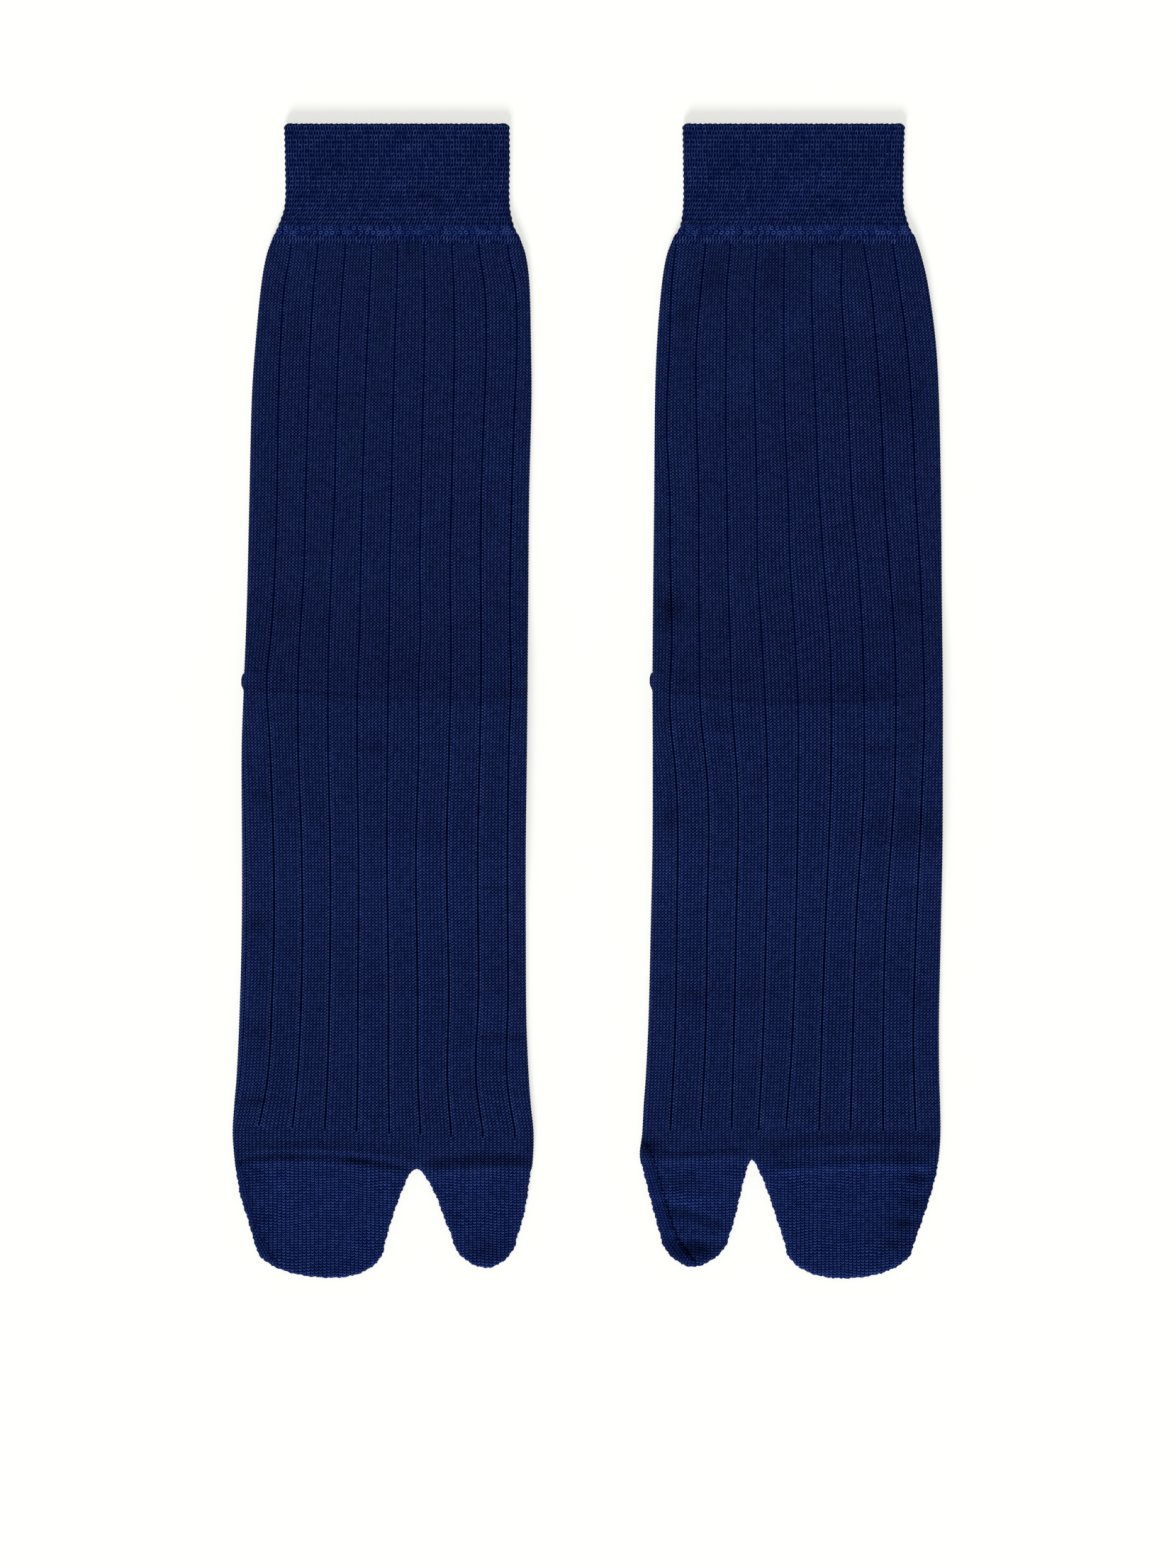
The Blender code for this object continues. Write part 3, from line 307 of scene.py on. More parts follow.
RIGHT = Sock(
    cuff=((0.0, -38.4, 35.8), (12.0, -38.2, 35.4), (27.0, -38.2, 35.5), (34.3, -39.3, 37.3), (37.4, -41.2, 39.1)),
    edges=(
        (37.5, -41.3, 39.2), (43.8, -43.7, 41.3), (53.2, -45.3, 43.5), (72.1, -46.9, 46.1), (91.1, -47.6, 47.2),
        (124.2, -47.9, 47.9), (162.0, -48.3, 48.2), (188.0, -48.5, 48.4), (209.3, -48.4, 48.4), (242.4, -48.5, 48.3),
        (270.8, -49.1, 47.8), (299.2, -49.8, 47.2), (318.1, -50.7, 47.3), (327.6, -51.4, 47.6), (337.0, -51.9, 47.7),
        (344.3, -52.7, 47.2),
    ),
    grooves=(
        (37.7, -40.2, -30.4, -22.4, -13.5, -4.4, 4.8, 14.7, 21.9, 31.4),
        (41.9, -40.8, -30.9, -22.6, -13.6, -4.4, 4.8, 14.8, 22.3, 32.0),
        (53.2, -42.0, -32.1, -23.6, -14.3, -4.6, 4.6, 14.5, 24.2, 33.7),
        (72.1, -42.7, -33.7, -23.8, -14.6, -4.6, 5.1, 15.5, 26.1, 36.3),
        (100.5, -43.7, -33.7, -24.0, -14.1, -4.2, 6.2, 17.1, 28.0, 38.4),
        (124.2, -42.7, -33.0, -23.6, -13.6, -3.2, 7.2, 18.1, 28.9, 39.4),
        (147.8, -42.5, -33.0, -23.3, -13.4, -2.5, 8.8, 20.2, 30.6, 40.8),
        (171.5, -42.0, -32.8, -22.6, -12.0, -0.9, 10.7, 21.6, 32.3, 41.7),
        (195.1, -42.7, -32.5, -21.9, -10.8, 0.1, 11.2, 22.1, 32.7, 42.2),
        (218.8, -40.6, -30.2, -20.2, -10.1, 0.1, 11.0, 22.1, 32.3, 41.5),
        (266.1, -40.3, -30.2, -20.5, -10.5, -0.6, 9.3, 19.5, 29.4, 39.6),
        (308.6, -41.1, -30.9, -21.4, -11.7, -2.0, 7.9, 18.3, 28.5, 38.6),
        (335.8, -42.5, -32.3, -22.1, -13.1, -3.9, 7.2, 17.6, 28.5, 39.4),
    ),
    crest=(188.0, 193.9, 188.6),
    toe_line=(334.5, 334.0, 334.6),
    first_lobe=Lobe(
        sections=((350.2, -51.3, -17.3), (357.8, -49.4, -19.2), (365.4, -47.4, -21.0), (371.5, -45.7, -22.9)),
        tip_x=-35.1, tip_down=381.5, roundness=1.65,
    ),
    crotch=(-15.3, 345.7),
    second_lobe=Lobe(
        sections=((350.2, -12.5, 46.3), (357.8, -9.5, 44.3), (365.4, -7.0, 41.8), (373.0, -4.5, 39.1)),
        tip_x=14.8, tip_down=385.3, roundness=2.1,
    ),
    split_groove=3,
    swells=(
        (-27.8, 49.5, 4.6, 7.5, -0.1, -0.22), (-7.2, 50.4, 6.6, 8.5, -0.15, -0.23),
        (8.4, 40.9, 15.1, 1.9, 0.0, -0.22), (-38.0, 49.7, 2.8, 6.6, 0.1, 0.13), (-32.3, 54.2, 2.1, 4.3, 0.0, -0.16),
        (-38.5, 64.1, 4.0, 3.1, 0.1, -0.18), (9.8, 50.4, 4.0, 6.6, 0.15, 0.17), (20.4, 58.9, 3.5, 6.1, 0.1, 0.12),
        (-1.6, 65.5, 5.2, 6.6, 0.3, 0.13), (-11.0, 75.0, 5.7, 6.6, 0.35, 0.13), (-19.3, 83.5, 4.7, 7.6, 0.35, 0.14),
        (-28.7, 84.0, 3.5, 16.0, 0.1, 0.1), (20.0, 88.0, 22.0, 14.0, 0.0, -0.07), (14.3, 74.5, 8.5, 5.2, 0.1, -0.12),
        (30.8, 91.1, 5.0, 10.9, 0.2, -0.18), (39.1, 94.4, 2.1, 9.0, 0.0, -0.18), (-24.7, 100.5, 6.6, 3.8, 0.0, -0.09),
        (0.6, 109.0, 4.0, 5.2, 0.1, -0.14), (25.4, 123.7, 6.1, 5.2, 0.25, -0.14), (35.8, 125.6, 2.6, 5.7, 0.1, 0.12),
        (13.1, 139.5, 6.6, 4.7, 0.1, -0.09), (-39.0, 116.0, 3.1, 18.0, 0.1, 0.09),
        (-42.5, 161.3, 3.1, 5.2, -0.35, -0.52), (-37.5, 169.1, 3.5, 3.8, 0.25, 0.13),
        (35.8, 161.5, 6.6, 6.1, 0.2, -0.17), (-37.5, 194.9, 4.0, 4.0, 0.1, 0.16),
        (-26.2, 201.5, 5.2, 2.4, 0.3, -0.14), (26.8, 209.5, 6.1, 2.1, 0.35, -0.17), (27.3, 199.8, 4.3, 6.1, 0.1, 0.1),
        (-42.9, 233.0, 3.5, 4.5, 0.45, -0.25), (26.3, 236.7, 7.6, 4.7, 0.35, -0.16),
        (41.0, 235.8, 7.6, 6.1, 0.5, -0.27), (42.9, 250.5, 6.1, 2.8, 0.1, 0.1), (-43.9, 249.5, 2.8, 4.3, 0.1, 0.14),
        (-44.6, 281.4, 2.8, 2.8, 0.15, 0.18), (-37.0, 292.6, 5.7, 3.8, 0.4, -0.21),
        (-18.8, 291.6, 10.4, 4.0, 0.2, -0.1), (39.6, 293.5, 2.1, 4.3, 0.1, -0.17), (32.5, 307.2, 5.2, 5.7, 0.1, 0.1),
        (-45.5, 307.2, 2.6, 7.1, 0.1, 0.09), (-42.5, 329.9, 4.5, 2.8, 0.15, -0.14),
        (7.4, 331.6, 3.5, 2.8, 0.1, -0.14), (-8.9, 332.3, 3.1, 4.7, 0.25, 0.17),
        (-29.5, 184.5, 13.7, 2.8, 0.0, -0.13), (15.5, 189.0, 17.0, 2.6, 0.0, -0.16),
        (-35.6, 336.8, 12.3, 1.9, 0.1, 0.1), (-49.6, 341.2, 3.6, 2.3, 0.2, -0.6),
        (-37.0, 352.2, 6.5, 2.4, -0.25, -0.26), (-31.8, 376.3, 6.6, 2.1, -0.1, -0.16),
        (-35.6, 375.1, 7.4, 3.2, -0.3, -0.7), (-5.8, 343.6, 4.7, 3.1, -0.1, -0.26),
        (36.0, 343.2, 8.0, 2.4, -0.1, -0.26), (40.2, 351.6, 4.4, 1.8, -0.3, -0.55),
        (38.6, 359.6, 4.2, 2.2, -0.25, -0.46), (35.0, 366.6, 4.6, 2.4, -0.25, -0.5),
        (32.2, 373.4, 4.4, 2.2, -0.2, -0.4), (30.0, 367.0, 12.0, 13.0, 0.0, -0.1),
        (12.4, 372.0, 10.9, 4.7, 0.0, -0.08), (0.1, 360.7, 3.3, 9.5, 0.0, -0.07),
    ),
    creases=(
        ((-12.9, 340.1), (15.5, 337.2), (49.1, 338.4), 1.9, -0.25, -0.18),
        ((-10.1, 342.7), (15.5, 341.0), (47.4, 341.5), 0.9, 0.3, 0.04),
        ((-11.5, 346.9), (15.5, 344.6), (47.6, 345.1), 1.2, -0.3, -0.13),
        ((-9.6, 350.3), (15.5, 347.9), (46.7, 348.6), 1.3, 0.45, 0.18),
        ((-53.1, 342.2), (-35.4, 342.7), (-16.2, 341.0), 0.7, -0.3, -0.15),
        ((-50.3, 345.8), (-34.2, 345.1), (-18.1, 344.3), 1.2, 0.3, 0.09),
        ((-47.4, 356.9), (-34.2, 358.3), (-21.4, 357.4), 2.1, 0.4, 0.16),
        ((-45.0, 361.0), (-36.0, 363.8), (-24.5, 367.6), 2.0, -0.4, -0.36),
        ((-44.6, 369.4), (-34.2, 370.8), (-25.2, 371.3), 1.2, 0.3, 0.11),
        ((-48.9, 187.5), (-1.1, 192.3), (50.9, 188.0), 0.8, -0.1, -0.15),
        ((-43.7, 191.6), (-1.1, 197.5), (46.2, 192.3), 1.9, 0.0, 0.05),
    ),
    seams=(
        (
            (-50.6, 341.0), (-48.4, 345.5), (-46.1, 354.1), (-44.0, 361.2), (-42.2, 367.4), (-40.4, 372.2),
            (-33.5, 381.5),
        ),
        ((36.0, 380.5), (38.6, 372.0), (41.4, 362.0), (44.4, 354.0), (46.6, 346.0)),
    ),
    cuff_swells=(
        (9.8, 16.3, 5.7, 2.1, 0.1, 0.22), (3.6, 20.6, 5.2, 2.4, 0.12, 0.22), (-1.6, 24.8, 4.7, 2.1, 0.1, 0.18),
        (-6.8, 28.6, 5.2, 1.7, 0.06, 0.16), (10.3, 28.1, 8.0, 2.4, -0.06, -0.18), (21.4, 11.8, 9.5, 5.7, 0.0, -0.1),
        (-33.7, 9.7, 2.4, 6.1, 0.05, 0.16), (-22.4, 10.6, 9.5, 6.1, 0.0, -0.07), (-6.3, 7.1, 14.2, 2.4, 0.0, -0.07),
    ),
)

SOCKS = {"left": LEFT, "right": RIGHT}


# ---------- What a user may change ----------


def length(name, description, default):
    return bpy.props.FloatProperty(name=name, description=description, default=default, unit="LENGTH")


def amount(name, description, default, **limits):
    return bpy.props.FloatProperty(name=name, description=description, default=default, min=0.0, **limits)


def angle(name, description, degrees):
    turn = math.radians(degrees)
    return bpy.props.FloatProperty(name=name, description=description, default=turn, subtype="ANGLE", unit="ROTATION")


def colour(name, description, default):
    look = {"subtype": "COLOR", "size": 3, "min": 0.0, "max": 1.0}
    return bpy.props.FloatVectorProperty(name=name, description=description, default=default, **look)


class KnitSizes(bpy.types.PropertyGroup):
    """Sizes of the stitches and of the relief that they make."""

    wale: length("Wale", "Width of one plain stitch between two ribs", 0.00111)
    course: length("Course", "Height of one stitch on the leg", 0.001017)
    channel: length("Channel", "From the middle of a sunk wale to the first plain stitch", 0.00089)
    groove_depth: length("Rib depth", "How deep each purl wale is sunk", 0.00045)
    crown: length("Rib crown", "How far the cloth swells between two sunk wales", 0.00012)
    bead: length("Edge bead", "How far each course stands out at a folded edge", 0.00007)
    toe_bead: length("Toe bead", "How far each course stands out round the toes", 0.00006)
    scallop: length("Scallop", "Height of the loops along the cuff's upper edge", 0.00042)
    cuff_wale: length("Cuff wale", "Width of one wale of the cuff", 0.000905)
    cuff_course: length("Cuff course", "Height of one row of holes in the cuff", 0.00151)
    relief: amount("Crease relief", "How strongly the soft creases show", 1.0, max=2.0)


class KnitColours(bpy.types.PropertyGroup):
    """Yarn colours, from the painted shade in the gaps between stitches to the painted highlight on the threads."""

    # Painted shade: the dark between the stitches and inside the cuff's holes, where the yarn lies in shade.
    gap: colour("Gap", "The knit between two stitches", (0.0, 0.0012, 0.0230))
    yarn: colour("Yarn", "The yarn's own colour", (0.0053, 0.0161, 0.0962))
    # Painted highlight: put on the tops of the stitches, where they would catch the light.
    painted_highlight: colour("Glint", "The yarn where a stitch catches the light", (0.0412, 0.0682, 0.2055))
    # Painted shade at the bottom of each sunk purl wale.
    sunk: colour("Sunk wale", "The bottom of a sunk wale", (0.0, 0.0006, 0.0100))


class StageSettings(bpy.types.PropertyGroup):
    """The table, the lights and the camera."""

    floor: colour("Table", "Colour of the table", (0.36, 0.36, 0.354))
    glow: amount("Table glow", "Light that comes up through the table", 0.66)
    key: amount("Key light", "Strength of the low key light", 3.5)
    fill: amount("Fill light", "Strength of the light from all round", 0.4)
    elevation: angle("Key height", "Angle of the key light above the table", 32)
    turn: angle("Key turn", "How far the key light stands to the left of the toes", 12)
    softness: angle("Key softness", "Angular size of the key light", 20)
    distance: length("Camera height", "Height of the camera above the table", 2.6)


def sizes(*names):
    """The knit's lengths of these names, in millimetres: one number, or an array of several."""
    found = [getattr(bpy.context.scene.tabi_knit, name) / MM for name in names]
    return np.array(found) if len(found) > 1 else found[0]


# ---------- Small geometry helpers ----------


def smooth_step(t):
    t = np.clip(t, 0.0, 1.0)
    return t * t * (3 - 2 * t)


def humps(value, rows):
    """The sum of soft humps: a height, a middle and a half width each."""
    return sum(height * np.exp(-(((value - middle) / half) ** 2)) for height, middle, half in rows)


def wave(plan, height, across, down, start=0.0):
    return height * np.sin(plan[..., 0] / across - plan[..., 1] / down + start)


def hermite(start, leaving, end, arriving, t):
    """A smooth curve between two values from its slopes there, at shares of the way."""
    from_start = start * (1 + 2 * t) * (1 - t) ** 2 + leaving * t * (1 - t) ** 2
    return from_start + end * t**2 * (3 - 2 * t) - arriving * t**2 * (1 - t)


def steps_along(points):
    """How far along a line of points each of them is."""
    steps = np.linalg.norm(np.diff(points, axis=0), axis=1)
    return np.concatenate([[0.0], np.cumsum(steps)])


def outward(steps):
    """Unit vectors at right angles to steps, which point outwards where the outline runs anticlockwise."""
    steps = steps / np.linalg.norm(steps, axis=1)[:, None]
    return np.stack([steps[:, 1], -steps[:, 0]], axis=1)


def table_at(table, downs):
    """The columns of a table at any depths: a smooth curve through its rows, whose first column is the depth."""
    table = np.array(table, float)
    knots, values = table[:, 0], table[:, 1:]
    slopes = np.gradient(values, knots, axis=0)
    downs = np.clip(np.asarray(downs, float), knots[0], knots[-1])
    i = np.clip(np.searchsorted(knots, downs) - 1, 0, len(knots) - 2)
    span = (knots[i + 1] - knots[i])[..., None]
    t = (downs - knots[i])[..., None] / span
    return hermite(values[i], slopes[i] * span, values[i + 1], slopes[i + 1] * span, t)


def line_down(line, across):
    """How far down a line across the sock is, by share of the width: a parabola through its three values."""
    left, middle, right = line
    t = 2 * np.asarray(across, float) - 1
    return middle + (right - left) / 2 * t + ((right + left) / 2 - middle) * t * t


def curve_through(points):
    """A smooth curve through 2D points, with POINTS_PER_SPAN steps from each to the next."""
    p = np.array(points, float)
    p = np.vstack([2 * p[0] - p[1], p, 2 * p[-1] - p[-2]])
    gaps = np.linalg.norm(np.diff(p, axis=0), axis=1)
    steps = np.linspace(0, 1, POINTS_PER_SPAN, endpoint=False)[:, None]
    spans = []
    for i in range(1, len(p) - 2):
        leaving = (p[i + 1] - p[i - 1]) * gaps[i] / (gaps[i] + gaps[i - 1])
        arriving = (p[i + 2] - p[i]) * gaps[i] / (gaps[i] + gaps[i + 1])
        spans.append(hermite(p[i], leaving, p[i + 1], arriving, steps))
    return np.vstack([*spans, p[-2:-1]])


class Curve:
    """A smooth plan curve with outward normals, read at places given in control points."""

    def __init__(self, controls):
        self.points = curve_through(controls)
        self.normals = outward(np.gradient(self.points, axis=0))
        self.along = steps_along(self.points)
        self.places = np.arange(len(self.points)) / POINTS_PER_SPAN

    def square_up(self, chosen):
        """Turns the chosen points' normals straight across the sock, so that its rows stay level."""
        self.normals[chosen, 0] = np.copysign(1.0, self.normals[chosen, 0])
        self.normals[chosen, 1] = 0.0

    def read(self, table, places):
        return np.stack([np.interp(places, self.places, table[:, axis]) for axis in (0, 1)], axis=-1)

    def inset(self, places, distance=FOLD_RADIUS):
        """The points this far inside the curve: where the flat layers meet the fold, unless a distance is given."""
        return self.read(self.points, places) - np.asarray(distance)[..., None] * self.read(self.normals, places)

    def where_down(self, downs, first, last):
        """The places between two control points where the curve is this far down."""
        chosen = (self.places >= first) & (self.places <= last)
        found, places = -self.points[chosen, 1], self.places[chosen]
        order = np.argsort(found)
        return np.interp(downs, found[order], places[order])

    def evenly(self, first, last, count):
        """count + 1 places at equal steps along the curve, from one place to another."""
        ends = np.interp([first, last], self.places, self.along)
        return np.interp(np.linspace(*ends, count + 1), self.along, self.places)


def side_of(rows, column):
    """The plan points of the left side (column 1) or right side (column 2) of rows, going down."""
    return [(row[column], -row[0]) for row in rows]


def tip_controls(lobe):
    """The rounded end of a toe lobe, as the two halves of a superellipse on its last section."""
    down, left, right = lobe.sections[-1]
    controls = []
    for degrees in TIP_ANGLES:
        turn = math.radians(degrees)
        reach = abs(math.cos(turn)) ** (2 / lobe.roundness)
        end = left if degrees < 90 else right
        deep = (lobe.tip_down - down) * math.sin(turn) ** (2 / lobe.roundness)
        controls.append((lobe.tip_x + (end - lobe.tip_x) * reach, -down - deep))
    return controls


def sock_outline(sock):
    """The outline from the mouth's left side round the toes to its right side, and its named places."""
    parts = [side_of(sock.edges, 1)]
    for lobe in (sock.first_lobe, sock.second_lobe):
        parts += [side_of(lobe.sections, 1), tip_controls(lobe), side_of(lobe.sections, 2)[::-1]]
    parts.insert(4, [(sock.crotch[0], -sock.crotch[1])])
    parts.append(side_of(sock.edges, 2)[::-1])
    starts = np.concatenate([[0], np.cumsum([len(part) for part in parts])])
    places = dict(
        base_left=starts[1] - 1,
        first_corners=[starts[2] + corner for corner in TIP_CORNERS],
        crotch=starts[4],
        second_corners=[starts[6] + corner for corner in TIP_CORNERS],
        base_right=starts[8],
        end=starts[9] - 1,
    )
    curve = Curve([point for part in parts for point in part])
    curve.square_up((curve.places <= places["base_left"]) | (curve.places >= places["base_right"]))
    return curve, places


def patch(top, bottom, left, right):
    """A grid of plan points between four runs that meet at their ends (a Coons patch)."""
    v = np.linspace(0, 1, len(left))[:, None, None]
    u = np.linspace(0, 1, len(top))[None, :, None]
    sides = (1 - u) * left[:, None] + u * right[:, None] + (1 - v) * top[None] + v * bottom[None]
    corners = (1 - v) * ((1 - u) * top[0] + u * top[-1]) + v * ((1 - u) * bottom[0] + u * bottom[-1])
    return sides - corners


# ---------- What a plan point lies on ----------


def edges_at(edges, plan):
    """The left and right edges at the depths of plan points."""
    return np.moveaxis(table_at(edges, -plan[..., 1]), -1, 0)


def width_share(edges, plan):
    """Where plan points are between the left edge (0) and the right edge (1)."""
    left, right = edges_at(edges, plan)
    return (plan[..., 0] - left) / (right - left)


def across_sock(sock, plan):
    return np.clip(width_share(sock.edges, plan), 0, 1)


def crest_down(sock, across):
    """Where the foot is highest over the pouch: its line turns up to the cuff at both edges."""
    across = np.asarray(across, float)
    turn = np.exp(-((across / EAR_REACH) ** 2)) + np.exp(-(((1 - across) / EAR_REACH) ** 2))
    return line_down(sock.crest, across) - EAR_TURN * turn


def foot_lift(sock, plan):
    """How high the tube's underside is: it climbs to the crest over the pouch and falls behind it."""
    past = -plan[..., 1] - crest_down(sock, across_sock(sock, plan))
    rise = np.maximum(0.0, 1 + np.minimum(past, 0.0) / RISE_LENGTH) ** RISE_POWER
    fall = 1 - smooth_step((past - HEEL_LENGTH - FALL_GAP) / FALL_LENGTH)
    return LIFT * np.where(past <= 0, rise, fall)


def past_toe_line(sock, plan):
    """How far plan points are past the line where the ribs end."""
    return -plan[..., 1] - line_down(sock.toe_line, across_sock(sock, plan))


def seam_distance(sock, plan):
    """How far plan points are from the nearest slanted toe seam, above 0 on the seam's outer side."""
    found = np.full(plan.shape[:-1], -FAR_FROM_SEAM)
    points = plan * (1, -1)
    for seam in sock.seams:
        nearest, outer = np.full(plan.shape[:-1], np.inf), 0.0
        for a, b in zip(seam, seam[1:]):
            a, step = np.array(a, float), np.subtract(b, a)
            t = np.clip(((points - a) @ step) / (step @ step), 0, 1)
            away = points - a - t[..., None] * step
            far = np.linalg.norm(away, axis=-1)
            outer = np.where(far < nearest, step[0] * away[..., 1] - step[1] * away[..., 0], outer)
            nearest = np.minimum(far, nearest)
        reach = points[..., 1] > min(down for _, down in seam) - SEAM_START
        found = np.where(reach, np.maximum(found, nearest * np.where(outer > 0, 1.0, -1.0)), found)
    return np.minimum(found, FAR_FROM_SEAM)


def wale_at(sock, plan, plain):
    """The wale of plan points, counted from the first sunk wale, of ribbed knit (plain 0) or even knit (plain 1)."""
    x, grooves = plan[..., 0], table_at(sock.grooves, -plan[..., 1])
    k = np.clip((x[..., None] >= grooves).sum(axis=-1) - 1, 0, GROOVES - 2)
    start, end = (np.take_along_axis(grooves, (k + step)[..., None], axis=-1)[..., 0] for step in (0, 1))
    channel, wale = sizes("channel", "wale")
    before, after = x - start, end - x
    inner = 0.5 + (RIB_WALES - 1) * (before - channel) / (end - start - 2 * channel)
    ribbed = np.where(before < channel, 0.5 * before / channel, inner)
    ribbed = np.where(after < channel, RIB_WALES - 0.5 * after / channel, ribbed)
    even = RIB_WALES * before / (end - start)

    def outside(distance):
        return 0.5 * np.minimum(distance / channel, 1) + np.maximum(distance - channel, 0) / wale

    ribbed = np.where(before < 0, -outside(-before), np.where(after < 0, RIB_WALES + outside(-after), ribbed))
    even = np.where(before < 0, before / PLAIN_WALE, np.where(after < 0, RIB_WALES - after / PLAIN_WALE, even))
    return RIB_WALES * k + ribbed * (1 - plain) + even * plain


def knit_at(sock, plan):
    """The knit's coordinates at plan points: the wale, and the course counted down from the cuff's upper edge."""
    past = past_toe_line(sock, plan)
    toe = np.maximum(past, 0)
    course = (-plan[..., 1] - toe) / sizes("course") + toe / TOE_COURSE
    return np.stack([wale_at(sock, plan, smooth_step(past / PLAIN_FADE)), -course], axis=-1)


# ---------- Relief of the upper layer ----------


def soft_fields(plan, swells, creases=()):
    """The height of the swellings and creases at plan points, and their painted light and shade on the knit."""
    x, down = plan[..., 0], -plan[..., 1]
    height, shade = np.zeros(x.shape), np.zeros(x.shape)
    for across, middle, half_across, half_down, high, light in swells:
        near = np.exp(-(((x - across) / half_across) ** 2) - ((down - middle) / half_down) ** 2)
        height += high * near
        shade += light * near
    for (x0, d0), (x1, d1), (x2, d2), half_width, high, light in creases:
        t = (x - x0) / (x2 - x0)
        m = (x1 - x0) / (x2 - x0)
        bend = (d1 - d0 - (d2 - d0) * m) / (m * (m - 1))
        line = d0 + (d2 - d0) * t + bend * t * (t - 1)
        fade = smooth_step((t + CREASE_PAST) / CREASE_FADE) * smooth_step((1 + CREASE_PAST - t) / CREASE_FADE)
        near = fade * np.exp(-(((down - line) / half_width) ** 2))
        height += high * near
        shade += light * near
    return height, shade


def upper_height(sock, base, plan, dip=0.0, crown=0.0):
    """Height of an upper layer's points: the foot's lift, the soft relief, a slight wander and the ribs."""
    soft, _ = soft_fields(plan, sock.swells, sock.creases)
    soft += wave(plan, *SLOW_WAVE) * wave(plan, *SLOW_WAVE_FADE) + wave(plan, *QUICK_WAVE)
    ribbed = 1 - smooth_step((past_toe_line(sock, plan) + RIB_END_FADE) / RIB_END_FADE)
    ribbed *= smooth_step((-plan[..., 1] - sock.edges[0][0]) / RIB_START_FADE)
    height = base + foot_lift(sock, plan) + soft * bpy.context.scene.tabi_knit.relief
    height += ribbed * (sizes("crown") * crown - sizes("groove_depth") * dip)
    return height + humps(seam_distance(sock, plan), SEAM_HUMPS)


def under_height(sock, base, plan, *_):
    """Height of a lower layer's points, which has no relief."""
    return base + foot_lift(sock, plan)


def soft_shade(sock, plan):
    """Painted light and shade on the knit at plan points, as a factor: painted lighter beside its folded edges."""
    x, down = plan[..., 0], -plan[..., 1]
    _, shade = soft_fields(plan, sock.swells, sock.creases)
    left, right = edges_at(sock.edges, plan)
    in_body = 1 - smooth_step((down - sock.edges[-1][0] + EDGE_END) / EDGE_FADE)
    edge = np.exp(-((np.minimum(x - left, right - x) / EDGE_REACH) ** 2)) * in_body
    on_foot = smooth_step((down - sock.crest[1]) / FOOT_FADE)
    return np.clip(1 + shade + EDGE_SHADE * edge, LEAST_SHADE, MOST_SHADE) * (1 + FOOT_SHADE * on_foot)


# ---------- Meshes ----------


# What each point carries for its material: its share of rib, how far it is outside the toe seam in millimetres, the
# painted light and shade on the knit there, and its share of the toes' flatter knit.
MARKS = ("rib", "seam", "shade", "toe")
RIB, SEAM, SHADE, _ = range(len(MARKS))
NO_MARKS = (0.0, -FAR_FROM_SEAM, 1.0, 0.0)


def add_object(name, data):
    made = bpy.data.objects.new(name, data)
    bpy.context.scene.collection.objects.link(made)
    return made


def no_marks(plan):
    """The marks of plain knit for a plan's points, to be changed."""
    return np.broadcast_to(NO_MARKS, (*plan.shape[:-1], len(MARKS))).copy()


